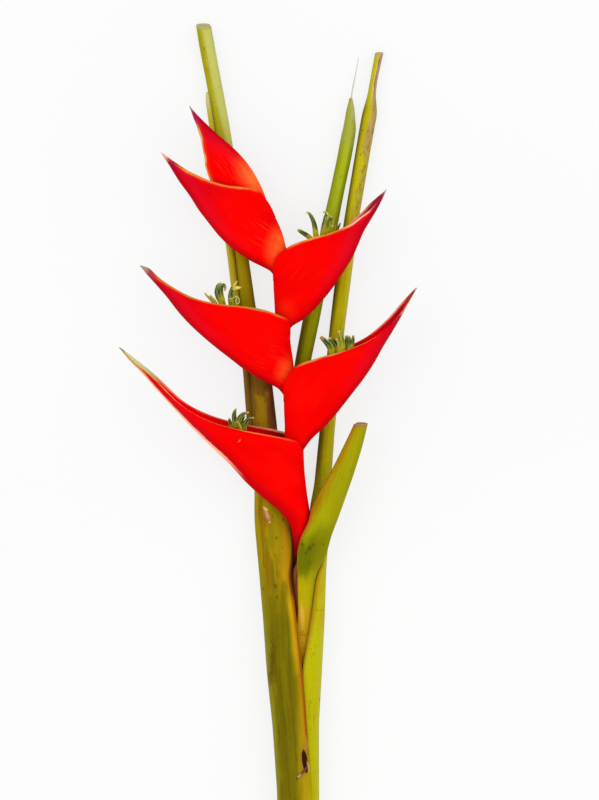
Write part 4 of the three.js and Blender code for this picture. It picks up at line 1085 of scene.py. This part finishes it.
# Flower clusters: fleshy base (centre and radii), and the tepals, each with its tone, as rows of
# x, y, z, radius
DARK, LIGHT_GREEN, PALE = 0, 0.5, 1
CLUSTERS = [
    ((-18.7, -3.5, PLANE, 10, 7.6, 6.4), [
        (DARK, [(-21.1, 9.8, 29, 1.82), (-21.4, 14, 30, 1.82), (-21.9, 17.9, 31, 1.56),
            (-21.4, 20.7, 32, 1.04), (-20.6, 22.4, 33, 0.52)]),
        (DARK, [(-23, 9.1, 27.5, 1.37), (-24.1, 12, 27.5, 1.37), (-24.8, 14.3, 27.8, 1.04),
            (-25.2, 16.2, 28, 0.59)]),
        (DARK, [(-19.1, 9.8, 30.5, 1.76), (-19, 14, 31.6, 1.76), (-17.7, 17.4, 33, 1.49),
            (-15.3, 19.2, 34, 1.1), (-12.5, 20, 34.6, 0.59)]),
        (LIGHT_GREEN, [(-17, 7.8, 31.6, 0.98), (-18.3, 11.1, 32.4, 1.04), (-19.9, 14, 32.8, 0.65)]),
        (DARK, [(-15.3, 8.5, 29.5, 1.56), (-14.8, 12.6, 30.6, 1.49), (-13.3, 15.2, 31.8, 1.23),
            (-11.3, 16.1, 32.6, 0.85), (-9.2, 16.4, 33, 0.52)]),
        (DARK, [(-17.2, 9.8, 28.5, 1.56), (-16.8, 15, 28.8, 1.3), (-15.1, 17.7, 29, 0.78)]),
    ]),
    ((49, 43.1, PLANE, 8, 9, 6.4), [
        (DARK, [(42.2, 57.2, 29, 2.21), (41.3, 61.1, 30, 2.34), (39.5, 64, 31, 2.15),
            (37.3, 66.3, 31.6, 1.76), (35.5, 67.9, 32, 1.43), (34.1, 68.9, 32.3, 1.04)]),
        (DARK, [(45.2, 57.2, 27.5, 1.95), (44.9, 62.1, 28.5, 1.95), (43.4, 65.4, 29.5, 1.69),
            (41.5, 67.3, 30.2, 1.3), (39.6, 68.2, 30.8, 0.85)]),
        (LIGHT_GREEN, [(46.5, 57.2, 29.5, 1.69), (46.8, 62.4, 30.6, 1.69), (45.8, 66, 31.4, 1.3),
            (44.2, 67.6, 32, 0.78)]),
        (LIGHT_GREEN, [(48.4, 57.2, 30.5, 1.89), (48.6, 62.1, 31.6, 1.95), (48.1, 66.6, 32.8, 1.95),
            (47.1, 70.2, 33.6, 1.56), (45.9, 72.9, 34.2, 0.72)]),
        (DARK, [(50.7, 57.9, 28.5, 1.82), (51.5, 62.4, 29, 1.82), (51.6, 66.6, 29.4, 1.56),
            (50.9, 69.9, 29.8, 0.91)]),
        (DARK, [(53, 59.1, 29.5, 1.56), (53.3, 63.7, 30.4, 1.56), (53, 67.6, 31, 1.17),
            (52.3, 69.7, 31.4, 0.72)]),
        (DARK, [(53.6, 60.5, 30, 1.43), (54.8, 64.4, 31, 1.43), (55.4, 67.6, 32, 1.1),
            (55.4, 70.1, 32.6, 0.59)]),
    ]),
    ((-32.1, 75.9, PLANE, 10.8, 8.2, 6.4), [
        (PALE, [(-35.1, 90.4, 28.5, 0.85), (-37.4, 93.6, 29, 0.85), (-39.6, 95.8, 29.6, 0.72),
            (-41.1, 97.6, 30, 0.45)]),
        (PALE, [(-33.1, 90.4, 28.8, 0.72), (-35.4, 93.6, 29.4, 0.72), (-37.7, 96.1, 30, 0.52)]),
        (DARK, [(-28.9, 87.8, 29.5, 1.76), (-30.2, 91.7, 30, 1.95), (-32, 95.2, 31, 2.02),
            (-32.9, 99.1, 31.8, 1.76), (-32.1, 102.4, 32.6, 1.3), (-30.3, 104, 33, 0.78)]),
        (DARK, [(-28.3, 87.8, 29, 1.56), (-29.4, 93, 30, 1.62), (-30.4, 97.5, 31.6, 1.56),
            (-30.2, 101.5, 33.4, 1.43), (-28.6, 102.8, 34.4, 1.3), (-27.7, 100.8, 34.6, 1.1),
            (-28.2, 98.8, 34.2, 0.72)]),
        (DARK, [(-23.1, 87.4, 29.5, 1.82), (-23.9, 91.7, 30.5, 1.89), (-24.2, 95.5, 31.4, 1.69),
            (-23.5, 99.5, 32.2, 1.43), (-22, 102.7, 32.8, 1.04), (-20.2, 104.7, 33.2, 0.65)]),
        (LIGHT_GREEN, [(-21.1, 87.8, 28, 1.17), (-21.7, 92.3, 28.5, 1.17), (-22.1, 96.2, 29, 0.78)]),
        (PALE, [(-23, 99.7, 33.2, 0.85), (-21.2, 100.4, 34, 1.23), (-19.2, 100.8, 34.4, 1.1),
            (-17.3, 101.3, 34.4, 0.4)]),
        (PALE, [(-22.6, 100.8, 33.6, 0.85), (-21.6, 103.1, 34.2, 0.91), (-19.9, 105.3, 34.4, 0.4)]),
    ]),
    ((40.9, 120.9, PLANE, 9.8, 7.6, 6.4), [
        (DARK, [(28.9, 132, 28.5, 1.43), (26.3, 134.4, 29.2, 1.62), (23.1, 136.5, 30, 1.49),
            (20.8, 137.8, 30.6, 1.23), (19.2, 138.7, 31, 0.78)]),
        (DARK, [(31.9, 131.3, 29, 1.82), (31.2, 135.8, 30, 1.89), (30.4, 141.1, 31, 1.62),
            (29, 145.6, 32, 1.37), (27.5, 148.3, 33, 1.1), (25.9, 149.8, 33.8, 0.65),
            (24.8, 149.6, 34, 0.4)]),
        (DARK, [(35.4, 131.3, 28.5, 1.95), (35.9, 136.5, 29.5, 1.95), (36.8, 142.3, 30.5, 1.69),
            (37.7, 146.9, 31, 1.43), (38, 149.2, 31.4, 1.04), (36.8, 150.3, 31.8, 0.65),
            (35.5, 150, 32, 0.4)]),
        (DARK, [(37.7, 132, 29.5, 1.82), (38.1, 137.8, 31, 1.89), (38.7, 143.7, 32.6, 1.82),
            (39.9, 146.6, 33.6, 1.56), (41.2, 145.6, 34, 1.3), (41.9, 142.7, 33.8, 0.98),
            (41.6, 140.4, 33.4, 0.59)]),
        (LIGHT_GREEN, [(35.8, 132, 30.5, 1.17), (36.7, 137.2, 32, 1.23), (38.4, 142.3, 33.6, 1.1),
            (39.3, 147.2, 34.4, 0.85), (38.4, 149.5, 34.6, 0.52)]),
        (DARK, [(43.2, 134.6, 28.5, 1.04), (44.5, 137.8, 29, 0.98), (45.9, 140.4, 29.4, 0.78),
            (47.1, 143.1, 29.6, 0.52)]),
        (LIGHT_GREEN, [(41, 133.2, 29.5, 0.91), (42.2, 136.5, 30.2, 0.91), (43.6, 139.1, 30.6, 0.65),
            (43.9, 141.3, 30.8, 0.4)]),
    ]),
]
# Thin threads of the flowers: cluster number, and rows of x, y, z, radius
THREADS = [
    (3, [(-25.6, 93.6, 33.6, 0.34), (-23, 94, 34.6, 0.3), (-20.4, 95.4, 35, 0.3), (-18.7, 93.4, 35.2, 0.3),
         (-18.9, 91, 35.2, 0.3), (-20.2, 90.6, 35, 0.28), (-21, 92.6, 35, 0.26), (-20, 94.6, 34.6, 0.24)]),
    (4, [(39.6, 145, 33, 0.5), (38.6, 149, 33.4, 0.36), (36.8, 150.6, 33.8, 0.3), (35.4, 150, 33.6, 0.26)]),
]


def flower_material():
    """Dark and pale tepals with a yellow foot and tip. Their tone is kept in the fact inside."""
    p = Paint("flower_skin")
    over, ramp, fact = p.over, p.ramp, p.fact
    run, side, tone = fact("run"), fact("side"), fact("inside")
    fibre = p.noise(p.flow(1.4, 0.12), 3)
    patch = p.noise(p.flow(0.3, 0.25), 2)
    p.colour = p.mix(ramp(fibre, 0.36, 0.62), (24, 40, 14), (66, 88, 34))
    # a painted pale sheen along the back, and yellowish edges
    over((150, 166, 96), p.band(p.plus(side, ramp(patch, 0.3, 0.7, -0.3, 0.3)), -0.1, 0.15, 0.3, 0.55), 0.6)
    lines = p.plus(p.band(side, -0.95, -0.85, -0.7, -0.55), ramp(side, 0.8, 0.95))
    over((216, 206, 76), lines, ramp(patch, 0.33, 0.5), 0.9)
    leafy = p.mix(ramp(fibre, 0.4, 0.6), (200, 196, 50), (92, 112, 22))
    over(leafy, ramp(tone, 0.2, 0.5), 0.85)
    tan = p.mix(ramp(fibre, 0.36, 0.62), (250, 226, 116), (206, 184, 74))
    over(tan, ramp(tone, 0.6, 0.9), 0.9)
    over((196, 188, 26), ramp(run, 0.56, 0.26), ramp(patch, 0.36, 0.52, 0.4, 0.95),
         ramp(p.y, 30, 40, 0.45, 1))
    over((160, 158, 60), ramp(run, 0.76, 0.95), 0.7)
    over((232, 208, 120), ramp(run, 0.91, 0.985), ramp(tone, 0.3, 0.9, 0.75, 1))
    over((196, 120, 66), p.spot(34, 68.6, 2.6, 2.2, 0.5), ramp(fibre, 0.4, 0.55, 0.5, 1))
    return p.finish(ramp(fibre, 0.2, 0.8, 0.4, 0.6), p.bump(fibre, 0.2, 0.5), 0.1)


flower_paint = flower_material()
thread_paint = plain_material("flower_thread_skin", (196, 200, 96), (214, 206, 120), (232, 222, 160))
for number, (base, tepals) in enumerate(CLUSTERS, 1):
    parts = [base_shell(base, number).build("base")]
    for k, (tone, rows) in enumerate(tepals):
        parts.append(tube_shell(rows, 18, k + 30, 0.6, 0.08, 0.72, tone).build("tepal"))
    show(join(parts, f"flowers_{number}_look"), f"flowers_{number}", "flowers", flower_paint)
for k, (number, rows) in enumerate(THREADS, 1):
    obj = tube_shell(rows, 10, k + 60, 0.5).build(f"flowers_{number}_thread_{k}")
    show(obj, f"flowers_{number}", "flowers", thread_paint)


# ---------------------------------------------------------------- stage, light and camera

FLOOR_HALF = 3  # metres
mesh = bpy.data.meshes.new("floor")
corners = [(-FLOOR_HALF, -FLOOR_HALF, 0), (FLOOR_HALF, -FLOOR_HALF, 0), (FLOOR_HALF, FLOOR_HALF, 0),
           (-FLOOR_HALF, FLOOR_HALF, 0)]
mesh.from_pydata(corners, [], [(0, 1, 2, 3)])
floor = put(bpy.data.objects.new("floor", mesh))
p = Paint("floor_paint")
paper = p.noise(p.space(2), 2)
p.colour = p.mix(p.ramp(paper, 0.3, 0.7), (0.116, 0.115, 0.114, 1), (0.126, 0.125, 0.124, 1))
p.shader.inputs["Emission Color"].default_value = (1, 1, 1, 1)
p.shader.inputs["Emission Strength"].default_value = 0.78
floor.data.materials.append(p.finish(0.9, p.bump(paper, 0.02, 0.1), 0))

scene = bpy.context.scene
scene.world = bpy.data.worlds.new("studio")
scene.world.use_nodes = True
background = scene.world.node_tree.nodes["Background"]
background.inputs["Color"].default_value = (1, 1, 1, 1)
background.inputs["Strength"].default_value = 1.45


def area_light(name, place, size, power):
    """A round light that looks at the middle of the frame."""
    data = bpy.data.lights.new(name, "AREA")
    data.shape = "DISK"
    data.size = size
    data.energy = power
    light = put(bpy.data.objects.new(name, data))
    light.location = place
    light.rotation_euler = (-Vector(place)).to_track_quat("-Z", "Y").to_euler()


area_light("key", (-0.9, 0.7, 1.8), 1.2, 8)
area_light("fill", (1.1, -0.2, 1.6), 1.6, 4)

# The camera looks straight down from far off. The frame's origin is at this pixel of the photo, counted
# from its left edge and its top, and the size of a pixel holds at the middle height of the flower.
ORIGIN = (268, 443)
PIXEL = 0.65 * MM
PHOTO_WIDE, PHOTO_HIGH = 599, 800
DISTANCE, MIDDLE = 12, 0.028  # metres
SENSOR = 36
camera_data = bpy.data.cameras.new("camera")
camera_data.sensor_fit = "AUTO"
camera_data.sensor_width = SENSOR
camera_data.lens = SENSOR * (DISTANCE - MIDDLE) / (PHOTO_HIGH * PIXEL)
camera = put(bpy.data.objects.new("camera", camera_data))
camera.location = ((PHOTO_WIDE / 2 - ORIGIN[0]) * PIXEL, (ORIGIN[1] - PHOTO_HIGH / 2) * PIXEL, DISTANCE)
scene.camera = camera
scene.view_settings.view_transform = "Standard"
